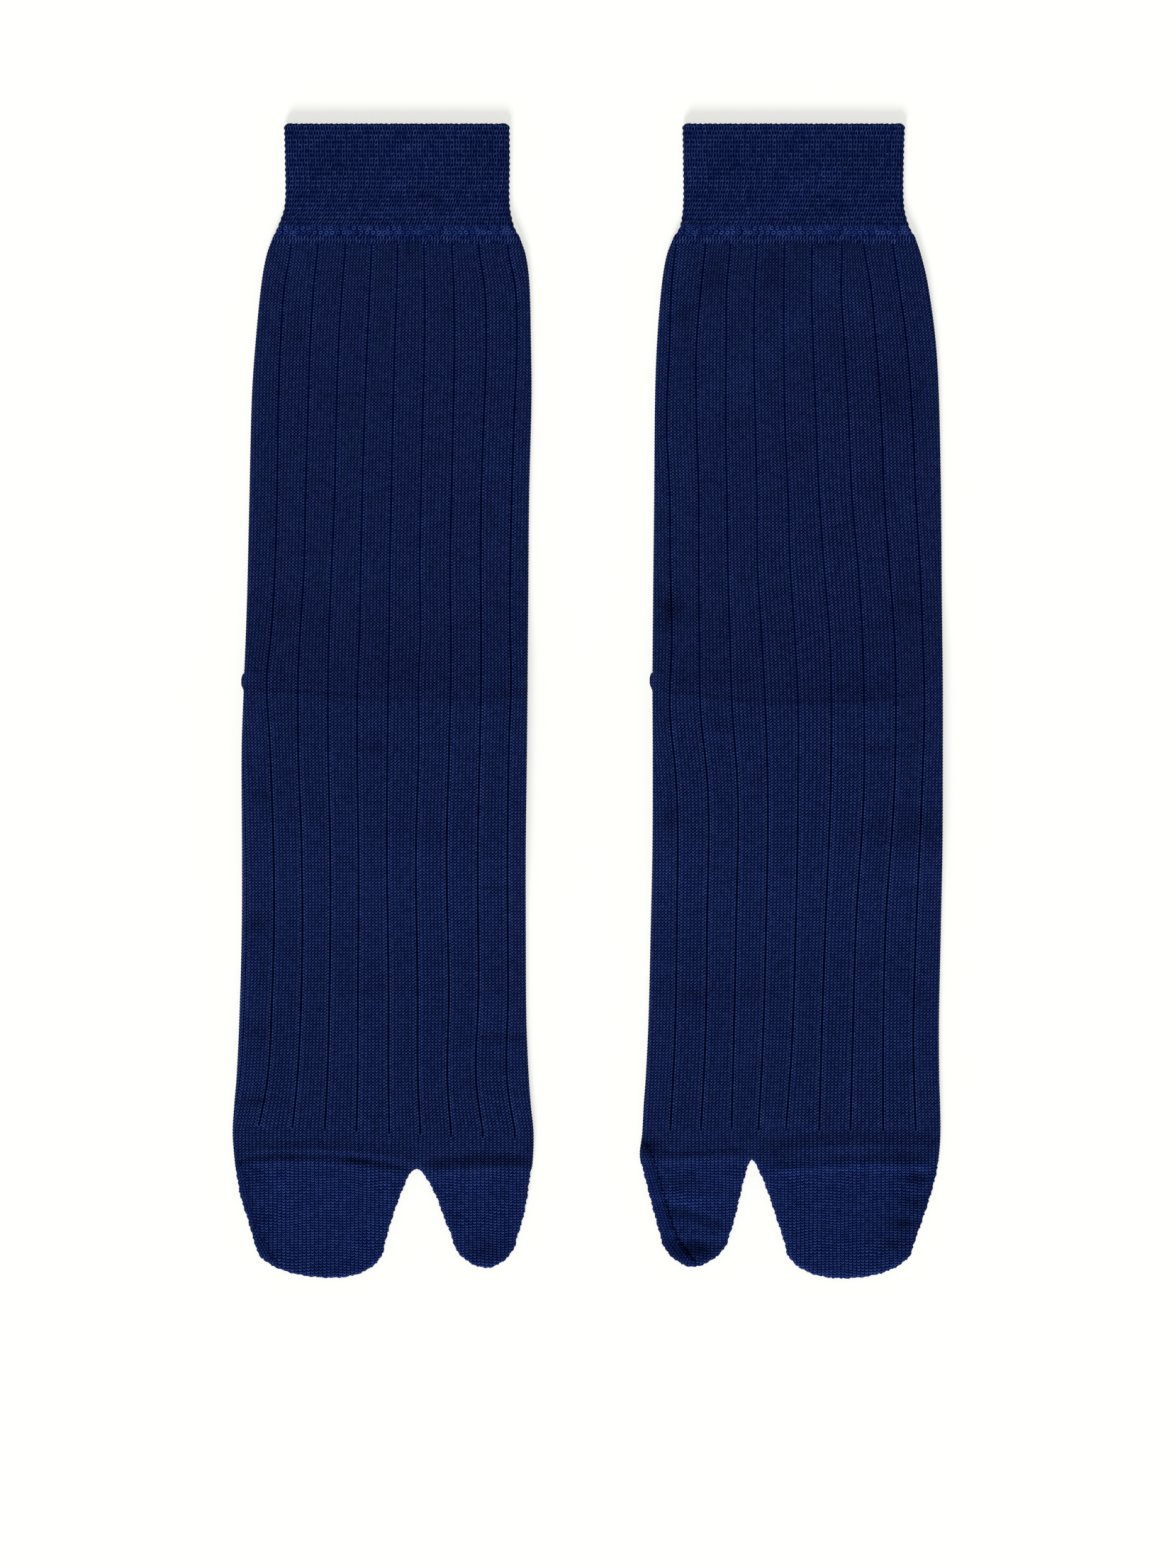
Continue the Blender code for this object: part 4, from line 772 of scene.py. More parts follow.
class Wall:
    """A knit wall in the making, in one sock's own plan: points, faces and each corner's place in the knit."""

    def __init__(self):
        self.points, self.faces, self.corners, self.count = [], [], [], 0
        self.marks, self.creased = [], []

    def add(self, plan, height, marks=NO_MARKS):
        """Adds points and gives their numbers, with the MARKS that their material reads."""
        shape = plan.shape[:-1]
        points = np.concatenate([plan, np.broadcast_to(height, shape)[..., None]], axis=-1).reshape(-1, 3)
        self.points.append(points)
        self.marks.append(np.broadcast_to(marks, (*shape, len(MARKS))).reshape(-1, len(MARKS)))
        ids = np.arange(self.count, self.count + len(points)).reshape(shape)
        self.count += len(points)
        return ids

    def at(self, ids):
        return np.concatenate(self.points)[ids]

    def quads(self, ids, knit):
        """Faces of a grid of points, with the knit's coordinates at its corners."""
        near, far = slice(None, -1), slice(1, None)
        around = ((near, near), (near, far), (far, far), (far, near))
        self.faces.append(np.stack([ids[corner] for corner in around], axis=-1).reshape(-1, 4))
        self.corners.append(np.stack([knit[corner] for corner in around], axis=-2).reshape(-1, 4, 2))

    def triangles(self, rows, knit_of):
        """Adds triangles, given as rows whose third and fourth points are the same."""
        rows = np.array(rows)
        self.faces.append(rows)
        self.corners.append(knit_of(self.at(rows)[..., :2]))

    def rim(self, first, second, knit_of=lambda plan: plan / PLAIN_WALE):
        """Triangles between two runs of points that start and end side by side, with sharp edges."""
        shares = []
        for run in (first, second):
            steps = np.linalg.norm(np.diff(self.at(run), axis=0), axis=1)
            shares.append(np.concatenate([[0.0], np.cumsum(steps) / steps.sum()]))
        i = j = 0
        made = []
        while i < len(first) - 1 or j < len(second) - 1:
            more_first, more_second = i < len(first) - 1, j < len(second) - 1
            if more_first and (not more_second or shares[0][i + 1] <= shares[1][j + 1]):
                made.append((first[i], first[i + 1], second[j], second[j]))
                i += 1
            else:
                made.append((first[i], second[j + 1], second[j], second[j]))
                j += 1
        self.creased += [*zip(first, first[1:]), *zip(second, second[1:])]
        self.triangles(made, knit_of)

    def fold(self, curve, places, upper, lower, bead, knit_of, stitch, inward=0.0, level=False):
        """Joins two layers' edges by a rounded fold about a curve, and gives its points, row by row.

        The table's light is painted on its outer side. A level fold keeps each row at the upper edge's depth.
        """
        turn = math.pi * np.arange(ARC_STEPS + 1) / ARC_STEPS
        between = turn[1:-1]
        inset = FOLD_RADIUS * (1 - np.sin(between)) - bead[:, None] * np.sin(between)
        plan = curve.inset(np.repeat(places[:, None], len(between), axis=1), inset + np.reshape(inward, (-1, 1)))
        top, bottom = self.at(upper), self.at(lower)[:, 2:]
        if level:
            plan[..., 1] = top[:, 1:2]
        height = (top[:, 2:] + bottom) / 2 + (top[:, 2:] - bottom) / 2 * np.cos(between)
        marks = np.repeat(np.concatenate(self.marks)[upper][:, None], len(between), axis=1)
        # Painted light from the table on the fold's outer side.
        marks[..., SHADE] *= 1 + FOLD_SHADE * np.sin(between)
        marks[..., SEAM] += (marks[..., SEAM] > NO_MARKS[SEAM]) * FOLD_RADIUS * between
        ids = np.concatenate([upper[:, None], self.add(plan, height, marks), lower[:, None]], axis=1)
        rolled = curve.read(curve.normals, places)[:, None] * (FOLD_RADIUS * turn)[:, None]
        self.quads(ids, knit_of(curve.inset(places))[:, None] + rolled / stitch)
        return ids

    def finish(self, name, side, material):
        """The mesh object, placed in the frame by its vertices."""
        points = np.concatenate(self.points) * MM + sock_anchor(side)
        faces, corners = np.concatenate(self.faces), np.concatenate(self.corners)
        keep = np.ones(faces.shape, bool)
        keep[:, 3] = faces[:, 2] != faces[:, 3]
        rows = [face if four else face[:3] for face, four in zip(faces.tolist(), keep[:, 3])]
        mesh = bpy.data.meshes.new(name)
        mesh.from_pydata(points.tolist(), [], rows)
        mesh.uv_layers.new(name="knit").data.foreach_set("uv", corners[keep].astype(np.float32).ravel())
        for label, column in zip(MARKS, np.concatenate(self.marks).astype(np.float32).T):
            mesh.attributes.new(label, "FLOAT", "POINT").data.foreach_set("value", np.ascontiguousarray(column))
        shell = bmesh.new()
        shell.from_mesh(mesh)
        bmesh.ops.recalc_face_normals(shell, faces=shell.faces)
        shell.verts.ensure_lookup_table()
        for a, b in self.creased:
            shell.edges.get((shell.verts[a], shell.verts[b])).smooth = False
        shell.to_mesh(mesh)
        shell.free()
        mesh.materials.append(material)
        mesh.shade_smooth()
        mesh.validate()
        return add_object(name, mesh)


def sock_anchor(side):
    """Where a sock's centre line and its cuff's upper edge are in the frame."""
    low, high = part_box(f"cuff_{side}")
    edges = np.array(SOCKS[side].cuff)
    centre = (edges[:, 1].min() + edges[:, 2].max()) / 2 * MM
    return np.array(((low.x + high.x) / 2 - centre, high.y, 0.0))


# ---------- The sock ----------


def upper_columns(sock, downs, left_x, right_x):
    """Each column's place across and its share of the rib relief, row by row: (x, groove share, crown share)."""
    grooves = table_at(sock.grooves, downs)
    channel = sizes("channel")
    steps = (-channel, -GROOVE_STEP, 0.0, GROOVE_STEP, channel)
    across_groove = tuple(zip(steps, (0.0, GROOVE_SHARE, 1.0, GROOVE_SHARE, 0.0)))
    columns = [(left_x, 0.0, 0.0)]

    def band(start, end, count):
        for t in np.arange(1, count + 1) / (count + 1):
            columns.append((start + (end - start) * t, 0.0, math.sin(math.pi * t) ** CROWN_POWER))

    band(left_x, grooves[:, 0] - channel, EDGE_COLUMNS - 1)
    for k, groove in enumerate(grooves.T):
        columns.extend((groove + offset, share, 0.0) for offset, share in across_groove)
        if k < GROOVES - 1:
            band(groove + channel, grooves[:, k + 1] - channel, BAND_COLUMNS)
    band(grooves[:, -1] + channel, right_x, EDGE_COLUMNS - 1)
    columns.append((right_x, 0.0, 0.0))
    x, dip, crown = zip(*columns)
    return np.stack(x, axis=1), np.array(dip), np.array(crown)


def spread_columns(counts, left_x, split_x, right_x):
    """Even columns in each toe lobe, row by row."""
    first, second = (np.linspace(0, 1, count + 1) for count in counts)
    before = left_x[:, None] + (split_x - left_x)[:, None] * first
    after = split_x + (right_x - split_x)[:, None] * second
    return np.concatenate([before, after[:, 1:]], axis=1)


class SockPlan:
    """The plan of one layer of a sock at a chosen fineness: the body's rows, then two toe lobes."""

    def __init__(self, sock, rows, columns, lobe_rows, ribbed=False):
        self.outline, places = sock_outline(sock)
        last_down = sock.edges[-1][0]
        downs = np.linspace(sock.edges[0][0], last_down, rows + 1)
        self.left = self.outline.where_down(downs, 0, places["base_left"])
        self.right = self.outline.where_down(downs, places["base_right"], places["end"])
        left, right, split_point = (self.outline.inset(run) for run in (self.left, self.right, places["crotch"]))
        self.split = columns[0]
        x = spread_columns(columns, left[:, 0], split_point[0], right[:, 0])
        self.dip = self.crown = np.zeros(x.shape[1])
        if ribbed:
            over_ribs, self.dip, self.crown = upper_columns(sock, downs, left[:, 0], right[:, 0])
            share = np.clip((over_ribs - over_ribs[:, :1]) / (over_ribs[:, -1:] - over_ribs[:, :1]), 0, 1)
            past = downs[:, None] - line_down(sock.toe_line, share)
            t = smooth_step(past / (last_down - sock.toe_line[1] - TOE_BLEND_GAP))
            x = over_ribs * (1 - t) + x * t
        y = np.repeat(-downs[:, None], x.shape[1], axis=1)
        y[:, 0], y[:, -1] = left[:, 1], right[:, 1]
        self.body = np.stack([x, y], axis=-1)
        self.body[-1, self.split] = split_point
        first, second = self.body[-1, : self.split + 1], self.body[-1, self.split :]
        self.lobes = [
            self.lobe(first, places["first_corners"], self.left[-1], places["crotch"], lobe_rows),
            self.lobe(second, places["second_corners"], places["crotch"], self.right[-1], lobe_rows),
        ]

    def lobe(self, top, corners, left_start, right_start, rows):
        """One lobe's grid of plan points and the places of its sides and tip on the outline."""
        ends = ((left_start, corners[0], rows), (right_start, corners[1], rows), (*corners, len(top) - 1))
        runs = [self.outline.evenly(*end) for end in ends]
        left, right, tip = (self.outline.inset(run) for run in runs)
        left[0], right[0] = top[0], top[-1]
        return patch(top, tip, left, right), runs

    def edge_places(self):
        """The places along the outline of the layer's edge points, in the outline's order."""
        (_, (left, right, tip)), (_, (next_left, next_right, next_tip)) = self.lobes
        first = (self.left, left[1:], tip[1:-1], right[::-1])
        return np.concatenate([*first, next_left[1:], next_tip[1:-1], next_right[:0:-1], self.right[::-1]])

    def edge_of(self, body, lobes):
        """The numbers along the outline of a sheet that was added from this plan, in the outline's order."""
        (first, first_tip), (second, second_tip) = lobes
        run = [body[:, 0], first[1:, 0], first_tip, first[::-1, -1]]
        run += [second[1:, 0], second_tip, second[:0:-1, -1], body[::-1, -1]]
        return np.concatenate(run)


def build_sock(side, material):
    """The ribbed tube with its two toe lobes: an upper and a lower layer, their linings and the folds between."""
    sock = SOCKS[side]
    wall = Wall()
    rib_columns = CHANNEL_COLUMNS + BAND_COLUMNS
    before = EDGE_COLUMNS + sock.split_groove * rib_columns
    total = 2 * EDGE_COLUMNS + GROOVES * rib_columns - BAND_COLUMNS - 1
    rows = 2 * round((sock.edges[-1][0] - sock.edges[0][0]) / sizes("course"))
    under_counts = UNDER_COLUMNS if side == "left" else UNDER_COLUMNS[::-1]
    fine = SockPlan(sock, rows, (before, total - before), LOBE_ROWS, ribbed=True)
    plain = SockPlan(sock, rows, under_counts, LOBE_ROWS)
    coarse = SockPlan(sock, LINING_ROWS, under_counts, LINING_LOBE_ROWS)
    knit_of = partial(knit_at, sock)

    def upper_marks(plan):
        past = past_toe_line(sock, plan)
        rib = 1 - smooth_step(past + RIB_MARK_START - RIB_PAST[side])
        toe = smooth_step((past - TOE_MARK_START) / TOE_MARK_FADE)
        return np.stack([rib, seam_distance(sock, plan), soft_shade(sock, plan), toe], axis=-1)

    def under_marks(plan):
        marks = no_marks(plan)
        marks[..., RIB] = -plan[..., 1] < sock.crest[1]
        return marks

    def sheet(plan, height, base, marks_of=under_marks, tips=None):
        """One layer's body and lobes. Tips are the plans of lobe ends that have more columns than the layer."""
        height_of = partial(height, sock, base)
        body = wall.add(plan.body, height_of(plan.body, plan.dip, plan.crown), marks_of(plan.body))
        wall.quads(body, knit_of(plan.body))
        lobes = []
        for number, shared in enumerate((body[-1, : plan.split + 1], body[-1, plan.split :])):
            grid, _ = plan.lobes[number]
            inner, tip = grid[1:-1], tips[number] if tips else grid[-1]
            ids = np.vstack([shared[None], wall.add(inner, height_of(inner), marks_of(inner))])
            end = wall.add(tip, height_of(tip), marks_of(tip))
            wall.quads(ids, knit_of(grid[:-1]))
            if tips:
                wall.rim(ids[-1], end, knit_of)
            else:
                wall.quads(np.vstack([ids[-1], end]), knit_of(grid[-2:]))
            lobes.append((ids, end))
        return body, lobes

    top = sheet(fine, upper_height, SOCK_HEIGHT, upper_marks)
    under = sheet(plain, under_height, 0.0, tips=[grid[-1] for grid, _ in fine.lobes])
    linings = sheet(coarse, upper_height, SOCK_HEIGHT - UPPER_WALL), sheet(coarse, under_height, LOWER_WALL)

    places = fine.edge_places()
    top_edge, under_edge = fine.edge_of(*top), plain.edge_of(*under)
    in_toe = smooth_step((-wall.at(top_edge)[:, 1] - sock.edges[-1][0]) / TOE_EDGE_FADE)
    bead = sizes("bead") + (sizes("toe_bead") - sizes("bead")) * in_toe
    bead = bead * np.where(np.arange(len(places)) % 2, 1.0, -1.0)
    run = np.interp(places, fine.outline.places, fine.outline.along)
    bead += in_toe * sum(high * np.sin(pace * run + start) for high, pace, start in TOE_EDGE_WAVES)
    bead[[0, -1]] = 0.0
    folds = wall.fold(fine.outline, places, top_edge, under_edge, bead, knit_of, sizes("wale", "course"))

    lining = np.stack([coarse.edge_of(*layer) for layer in linings], axis=1)
    edge_knit = knit_of(coarse.outline.inset(coarse.edge_places()))
    wall.quads(lining, np.stack([edge_knit, edge_knit], axis=1))
    wall.rim(top[0][0], linings[0][0][0])
    wall.rim(under[0][0], linings[1][0][0])
    for end in (0, -1):
        wall.rim(folds[end], lining[end])
    return wall.finish(f"sock_knit_{side}", side, material)


# ---------- The cuff ----------


def build_cuff(side, material):
    """The flat tube above the ribs, open at both ends, with small loops along its upper edge."""
    sock = SOCKS[side]
    wall = Wall()
    curves = Curve(side_of(sock.cuff, 1)), Curve(side_of(sock.cuff, 2)[::-1])
    for curve in curves:
        curve.square_up(slice(None))
    rows = round(CUFF_DEPTH / CUFF_ROW)
    downs = np.linspace(0.0, CUFF_DEPTH, rows + 1)
    places = [curve.where_down(downs, 0, len(sock.cuff) - 1) for curve in curves]
    width = sock.cuff[0][2] - sock.cuff[0][1]
    count = 4 * round(width / sizes("cuff_wale") / 2)
    stitch = sizes("cuff_wale", "cuff_course")
    lift = CUFF_EDGE_LIFT * (1 - smooth_step(downs / CUFF_LIFT_REACH))
    rounding = CUFF_CORNER - np.sqrt(np.maximum(CUFF_CORNER**2 - np.maximum(CUFF_CORNER - downs, 0) ** 2, 0))
    starts, ends = (curve.inset(run) for curve, run in zip(curves, places))
    starts[:, 0] += rounding
    ends[:, 0] -= rounding

    def knit_of(plan):
        return np.stack([width_share(sock.cuff, plan) * width, plan[..., 1]], axis=-1) / stitch

    def layer(chosen, columns, scallop):
        """The plan of one layer, with loops along its upper edge."""
        start, end = starts[chosen][:, None], ends[chosen][:, None]
        plan = start + (end - start) * np.linspace(0, 1, columns + 1)[:, None]
        loops = (abs(np.cos(np.arange(columns + 1) * math.pi / 4)) - SCALLOP_LEVEL) * scallop
        plan[..., 1] += loops * np.clip(1 + plan[..., 1] / SCALLOP_REACH, 0, 1)
        return plan

    def relief(plan):
        down = -plan[..., 1]
        soft = soft_fields(plan, sock.cuff_swells)[0] + wave(plan, *CUFF_WAVE)
        inside = np.clip(down / CUFF_TOP_FADE, 0, 1) * np.clip((CUFF_DEPTH - down) / CUFF_END_FADE, 0, 1)
        return soft * inside + humps(down, CUFF_FOOT_HUMPS)

    every, some = np.arange(rows + 1), np.unique(np.linspace(0, rows, CUFF_LINING_ROWS).round().astype(int))
    sheets = []
    for chosen, columns, base, loops in (
        (every, count, CUFF_HEIGHT + lift, sizes("scallop")),
        (every, count, 0.0 * lift, sizes("scallop")),
        (some, CUFF_LINING_COLUMNS, CUFF_HEIGHT - CUFF_WALL + lift, 0.0),
        (some, CUFF_LINING_COLUMNS, LOWER_WALL + 0.0 * lift, 0.0),
    ):
        plan, height, marks = layer(chosen, columns, loops), base[chosen][:, None], NO_MARKS
        if not sheets:
            height, marks = height + relief(plan), no_marks(plan)
            # The cuff's swells add painted light and shade to its upper layer.
            marks[..., SHADE] += soft_fields(plan, sock.cuff_swells)[1]
        sheets.append(wall.add(plan, height, marks))
        wall.quads(sheets[-1], knit_of(plan))
    top, under, lining_top, lining_under = sheets

    bead = CUFF_BEAD * np.where(np.arange(rows + 1) // 2 % 2, 1.0, -1.0)
    bead[[0, -1]] = 0.0
    folds = [
        wall.fold(curve, run, top[:, column], under[:, column], bead, knit_of, stitch, rounding, level=True)
        for curve, run, column in zip(curves, places, (0, -1))
    ]
    linings = [np.stack([lining_top[:, column], lining_under[:, column]], axis=1) for column in (0, -1)]
    for lining in linings:
        wall.quads(lining, wall.at(lining)[..., :2])
    for end in (0, -1):
        wall.rim(top[end], lining_top[end])
        wall.rim(under[end], lining_under[end])
        for fold, lining in zip(folds, linings):
            wall.rim(fold[end], lining[end])
    return wall.finish(f"cuff_knit_{side}", side, material)


# ---------- The heel pouch ----------


def heel_outline(sock):
    """The pouch's outline, anticlockwise from the left end of its upper edge. Its left corner shows."""
    left = table_at(sock.edges, sock.crest[0])[0]
    right = table_at(sock.edges, sock.crest[2])[1]
    middle, half = (left + right) / 2, (right - left) / 2
    bottom = sock.crest[1] + HEEL_LENGTH

    def one_side(ear, top):
        run = [(half + out + ear * share, top + below) for out, share, below in EAR_POINTS]
        for turn in np.radians(np.linspace(HEEL_FLARE, 90, HEEL_CORNER_STEPS)):
            x = HEEL_END_WIDTH / 2 - HEEL_CORNER + HEEL_CORNER * math.cos(turn)
            run.append((x, bottom - HEEL_CORNER * (1 - math.sin(turn))))
        return run

    points = [(middle - x, down) for x, down in one_side(HEEL_EAR, crest_down(sock, 0.0))]
    points += [(middle + x, down) for x, down in reversed(one_side(0.0, crest_down(sock, 1.0)))]
    points += [(left + (right - left) * a, crest_down(sock, a) + HEEL_SETBACK) for a in HEEL_TOP_SHARES]
    return np.array([(x, -down) for x, down in points])


def build_heel(side, material):
    """Two folded layers as one rounded form, with a notch between them all round its edge."""
    outline = heel_outline(SOCKS[side])
    outline = np.vstack([outline, outline[:1]])
    along = steps_along(outline)
    even = np.linspace(0, along[-1], HEEL_POINTS, endpoint=False)
    ring = np.stack([np.interp(even, along, column) for column in outline.T], axis=1)
    normals = outward(np.roll(ring, -HEEL_SMOOTHING, axis=0) - np.roll(ring, HEEL_SMOOTHING, axis=0))
    cap = ring + HEEL_CAP_SHARE * (ring.mean(axis=0) - ring)
    levels = [(cap, 0.0)]
    for layer in (0.0, 0.5):
        for turn in np.linspace(0, math.pi, HEEL_LAYER_STEPS):
            up = layer + 0.25 * (1 - math.cos(turn)) * HEEL_LAYER_SHARE
            levels.append((ring - HEEL_NOTCH * (1 - math.sin(turn)) * normals, up))
    levels.append((cap, 1.0))

    def knit_of(plan):
        return plan / sizes("wale", "course")

    wall = Wall()
    ids = np.stack([wall.add(plan, share * HEEL_THICKNESS) for plan, share in levels])
    ids = np.hstack([ids, ids[:, :1]])
    wall.quads(ids, knit_of(wall.at(ids)[..., :2]))
    for end in (ids[0], ids[-1]):
        edge = wall.at(end[:-1])
        middle = wall.add(edge[:, :2].mean(axis=0)[None], edge[0, 2])
        wall.triangles(np.stack([np.repeat(middle, len(edge)), end[:-1], end[1:], end[1:]], axis=1), knit_of)
    return wall.finish(f"heel_knit_{side}", side, material)


# ---------- Materials ----------

# The shape of one plain stitch: how steeply its legs climb, half their width, how much higher they are in the middle of
# the wale, on its right and on both legs, how high the cloth is between them and how far they rise above it, and how
# much the middle of the wale and its two legs stand out as columns. The height also sets the colour: painted shade
# where it is low, a painted highlight where it is high, and a lighter right leg, painted as the light falls on it.
Stitch = namedtuple("Stitch", "slope half_width middle right legs floor rise column columns")
LEG_STITCH = Stitch(1.69, 0.32, 0.51, 0.03, 0.68, 0.45, 1.02, 0.29, 0.0)
FOOT_STITCH = Stitch(1.48, 0.30, 0.91, 0.16, 0.56, 0.48, 1.03, 0.20, 0.0)
TOE_STITCH = Stitch(1.22, 0.42, 0.50, 0.04, -0.20, 0.46, 0.74, 0.07, -0.10)
TOE_TINT = (0.80, 0.93, 1.08)

# Courses of the leg, counted from the cuff's upper edge, between which it begins, its sunk wales deepen and darken
# with painted shade, and its knit turns to that of the foot
FIRST_COURSES, DEEPENING_COURSES, FOOT_COURSES = (38.9, 39.6), (39.0, 60.0), (170.0, 240.0)
# The loose rows above them: the first row, the courses in a row, and the slots of a row in a metre
LOOSE_START, LOOSE_ROW, LOOSE_SLOTS = 37.2, 1.55, 991.0
# Rows of the cuff, from its upper edge, between which its holes come to lean, it grows lighter, and its loops begin
LEANING_ROWS, LIGHTER_ROWS, LOOP_ROWS = (4.0, 20.0), (21.2, 22.4), (22.4, 22.65)
# From a sunk wale's middle, in wales: the painted shade at its bottom, the channel's side, the beads in it and the
# wale beside it
SUNK_SIDE, CHANNEL_SIDE, BEAD_PLACE, BESIDE_PLACE = (0.09, 0.26), (0.38, 0.47), 0.32, 0.70
# In metres across both socks: the middle of each leg, how far from it the sunk wales' painted shade grows to full
# strength, and both sides of the span where the painted shade beside the toe seam is at full strength
LEG_MIDDLE, LEG_REACH = 0.068, (0.012, 0.036)
FULL_SEAM_SHADE_LEFT, FULL_SEAM_SHADE_RIGHT = (-0.001, 0.001), (0.069, 0.071)
# Heights in a stitch between which its painted shade turns to yarn, and its yarn takes the painted highlight
YARN_HEIGHTS, HIGHLIGHT_HEIGHTS = (0.04, 0.85), (0.48, 1.12)
# How deep the relief of the finest stitches is, in metres
BUMP_DEPTH = 0.0001

# A Mix node's sockets for two colours and for the mixed one
FIRST_COLOUR, SECOND_COLOUR, MIXED_COLOUR = 6, 7, 2


class Wire:
    """An output socket of a node tree. Arithmetic on it adds Math nodes."""

    def __init__(self, tree, socket=None):
        self.tree, self.socket = tree, socket

    def node(self, kind, settings, sockets, output=0):
        """Adds a node of any type: its settings first, then the values or links of its sockets."""
        made = self.tree.nodes.new(kind)
        for name, value in settings.items():
            setattr(made, name, value)
        for name, value in sockets.items():
            if isinstance(value, Wire):
                self.tree.links.new(value.socket, made.inputs[name])
            else:
                made.inputs[name].default_value = value
        return Wire(self.tree, made.outputs[output] if made.outputs else None)

    def math(self, operation, *values):
        return self.node("ShaderNodeMath", {"operation": operation}, dict(enumerate((self, *values))))

    __add__ = __radd__ = partialmethod(math, "ADD")
    __sub__ = partialmethod(math, "SUBTRACT")
    __mul__ = __rmul__ = partialmethod(math, "MULTIPLY")
    __truediv__ = partialmethod(math, "DIVIDE")
    __pow__ = partialmethod(math, "POWER")
    __abs__ = partialmethod(math, "ABSOLUTE")
    least = partialmethod(math, "MINIMUM")
    most = partialmethod(math, "MAXIMUM")
    cosine = partialmethod(math, "COSINE")

    def __rsub__(self, other):
        return self.node("ShaderNodeMath", {"operation": "SUBTRACT"}, {0: other, 1: self})

    def nearest_whole(self):
        return (self + 0.5).math("FLOOR")

    def offset_from_whole(self):
        """How far a value is from the nearest whole number, from -0.5 to 0.5."""
        return self - self.nearest_whole()

    def rise(self, low, high):
        """A smooth step from 0 at low to 1 at high."""
        sockets = {"Value": self, "From Min": low, "From Max": high}
        return self.node("ShaderNodeMapRange", {"interpolation_type": "SMOOTHSTEP"}, sockets)

    def fall(self, low, high):
        """A smooth step from 1 at low to 0 at high."""
        return 1 - self.rise(low, high)

    def mix(self, factor, first, second, blend):
        settings = {"data_type": "RGBA", "blend_type": blend}
        sockets = {"Factor": factor, FIRST_COLOUR: first, SECOND_COLOUR: second}
        return self.node("ShaderNodeMix", settings, sockets, MIXED_COLOUR)


def mixed(factor, first, second):
    """A colour between two colours."""
    return factor.mix(factor, first, second, "MIX")


def bright(colour, amount):
    """A colour times a value."""
    return amount.mix(1.0, colour, amount, "MULTIPLY")


def opaque(colour):
    return (*colour, 1.0)


def dome(value, half_width):
    """1 in the middle of a strand and 0 from its edge outwards."""
    return (1 - (value / half_width) ** 2.0).most(0.0)


def from_centre(across, half_across, along, half_along):
    """How far out a place is on an ellipse: 1 on its edge."""
    return ((across / half_across) ** 2.0 + (along / half_along) ** 2.0) ** 0.5


class Knit:
    """What a knit pattern reads: its nodes, the wale and course of a place, and soft noise over the piece."""

    def __init__(self, tree):
        self.start = Wire(tree)
        self.place = self.start.node("ShaderNodeTexCoord", {}, {}, 3)
        self.wale, self.course = self.both(self.start.node("ShaderNodeUVMap", {"uv_map": "knit"}, {}))
        self.down = self.course * -1.0
        self.colours = bpy.context.scene.tabi_colours

    def both(self, vector):
        """The first two numbers of a vector."""
        split = self.start.node("ShaderNodeSeparateXYZ", {}, {"Vector": vector})
        return split, Wire(split.tree, split.socket.node.outputs[1])

    def mark(self, name):
        """One of the piece's vertex attributes."""
        return self.start.node("ShaderNodeAttribute", {"attribute_name": name}, {}, 2)

    def uneven(self, scale, detail=1.0):
        """Soft noise, about 0.5, whose patches are 1 / scale of a metre."""
        return self.start.node("ShaderNodeTexNoise", {}, {"Vector": self.place, "Scale": scale, "Detail": detail})

    def wander(self, scale, reach, detail=2.0):
        """Soft noise about 0, as far as half its reach to both sides."""
        return (self.uneven(scale, detail) - 0.5) * reach

    def fibres(self, amount):
        """Fine noise about 0, as the yarn's own fibres make."""
        return (self.uneven(4400.0) + self.uneven(1500.0) * 1.2 - 1.1) * amount

    def each(self, wale, course):
        """A number of its own for each stitch, 0 to 1."""
        whole = {"X": wale.nearest_whole(), "Y": course.nearest_whole()}
        stitch = self.start.node("ShaderNodeCombineXYZ", {}, whole)
        return self.start.node("ShaderNodeTexWhiteNoise", {"noise_dimensions": "2D"}, {"Vector": stitch})

    def yarn_shade_and_highlight(self, height, own, highlight_share=1.0):
        """Colour at a stitch height, 0 to 1: painted shade, yarn, then each stitch's own share of painted highlight."""
        base = mixed(height.rise(*YARN_HEIGHTS), opaque(self.colours.gap), opaque(self.colours.yarn))
        highlight = height.rise(*HIGHLIGHT_HEIGHTS) * (0.7 + 0.65 * own) * highlight_share
        return mixed(highlight, base, opaque(self.colours.painted_highlight))


def between(share, first, second):
    """A stitch's shape between two shapes."""
    return Stitch(*(low + (high - low) * share for low, high in zip(first, second)))


def stocking_stitch(wale, course, shape):
    """Plain knit: the height of its slanted legs, about 0 to 1, and the strand's own place along the wale."""
    across = wale.offset_from_whole()
    along = course - abs(across) * shape.slope
    turn = across * (2 * math.pi)
    once, twice = turn.cosine(), (turn * 2.0).cosine()
    stands = 1 + once * shape.middle + (turn - math.pi / 2).cosine() * shape.right + twice * shape.legs
    strand = dome(along.offset_from_whole(), shape.half_width) - shape.half_width * (4 / 3)
    return strand * stands * shape.rise + once * shape.column + twice * shape.columns + shape.floor, along


def knit_material(name, pattern):
    """A knit material whose pattern gives a colour and a height."""
    material = bpy.data.materials.new(name)
    material.use_nodes = True
    tree = material.node_tree
    tree.nodes.clear()
    knit = Knit(tree)
    colour, height = pattern(knit)
    sockets = {
        "Base Color": colour,
        "Normal": knit.start.node("ShaderNodeBump", {}, {"Strength": 1.0, "Distance": BUMP_DEPTH, "Height": height}),
        "Roughness": 0.8,
        "Specular IOR Level": 0.02,
        "Specular Tint": (0.15, 0.35, 1.0, 1.0),
    }
    shader = knit.start.node("ShaderNodeBsdfPrincipled", {}, sockets)
    knit.start.node("ShaderNodeOutputMaterial", {}, {"Surface": shader})
    return material


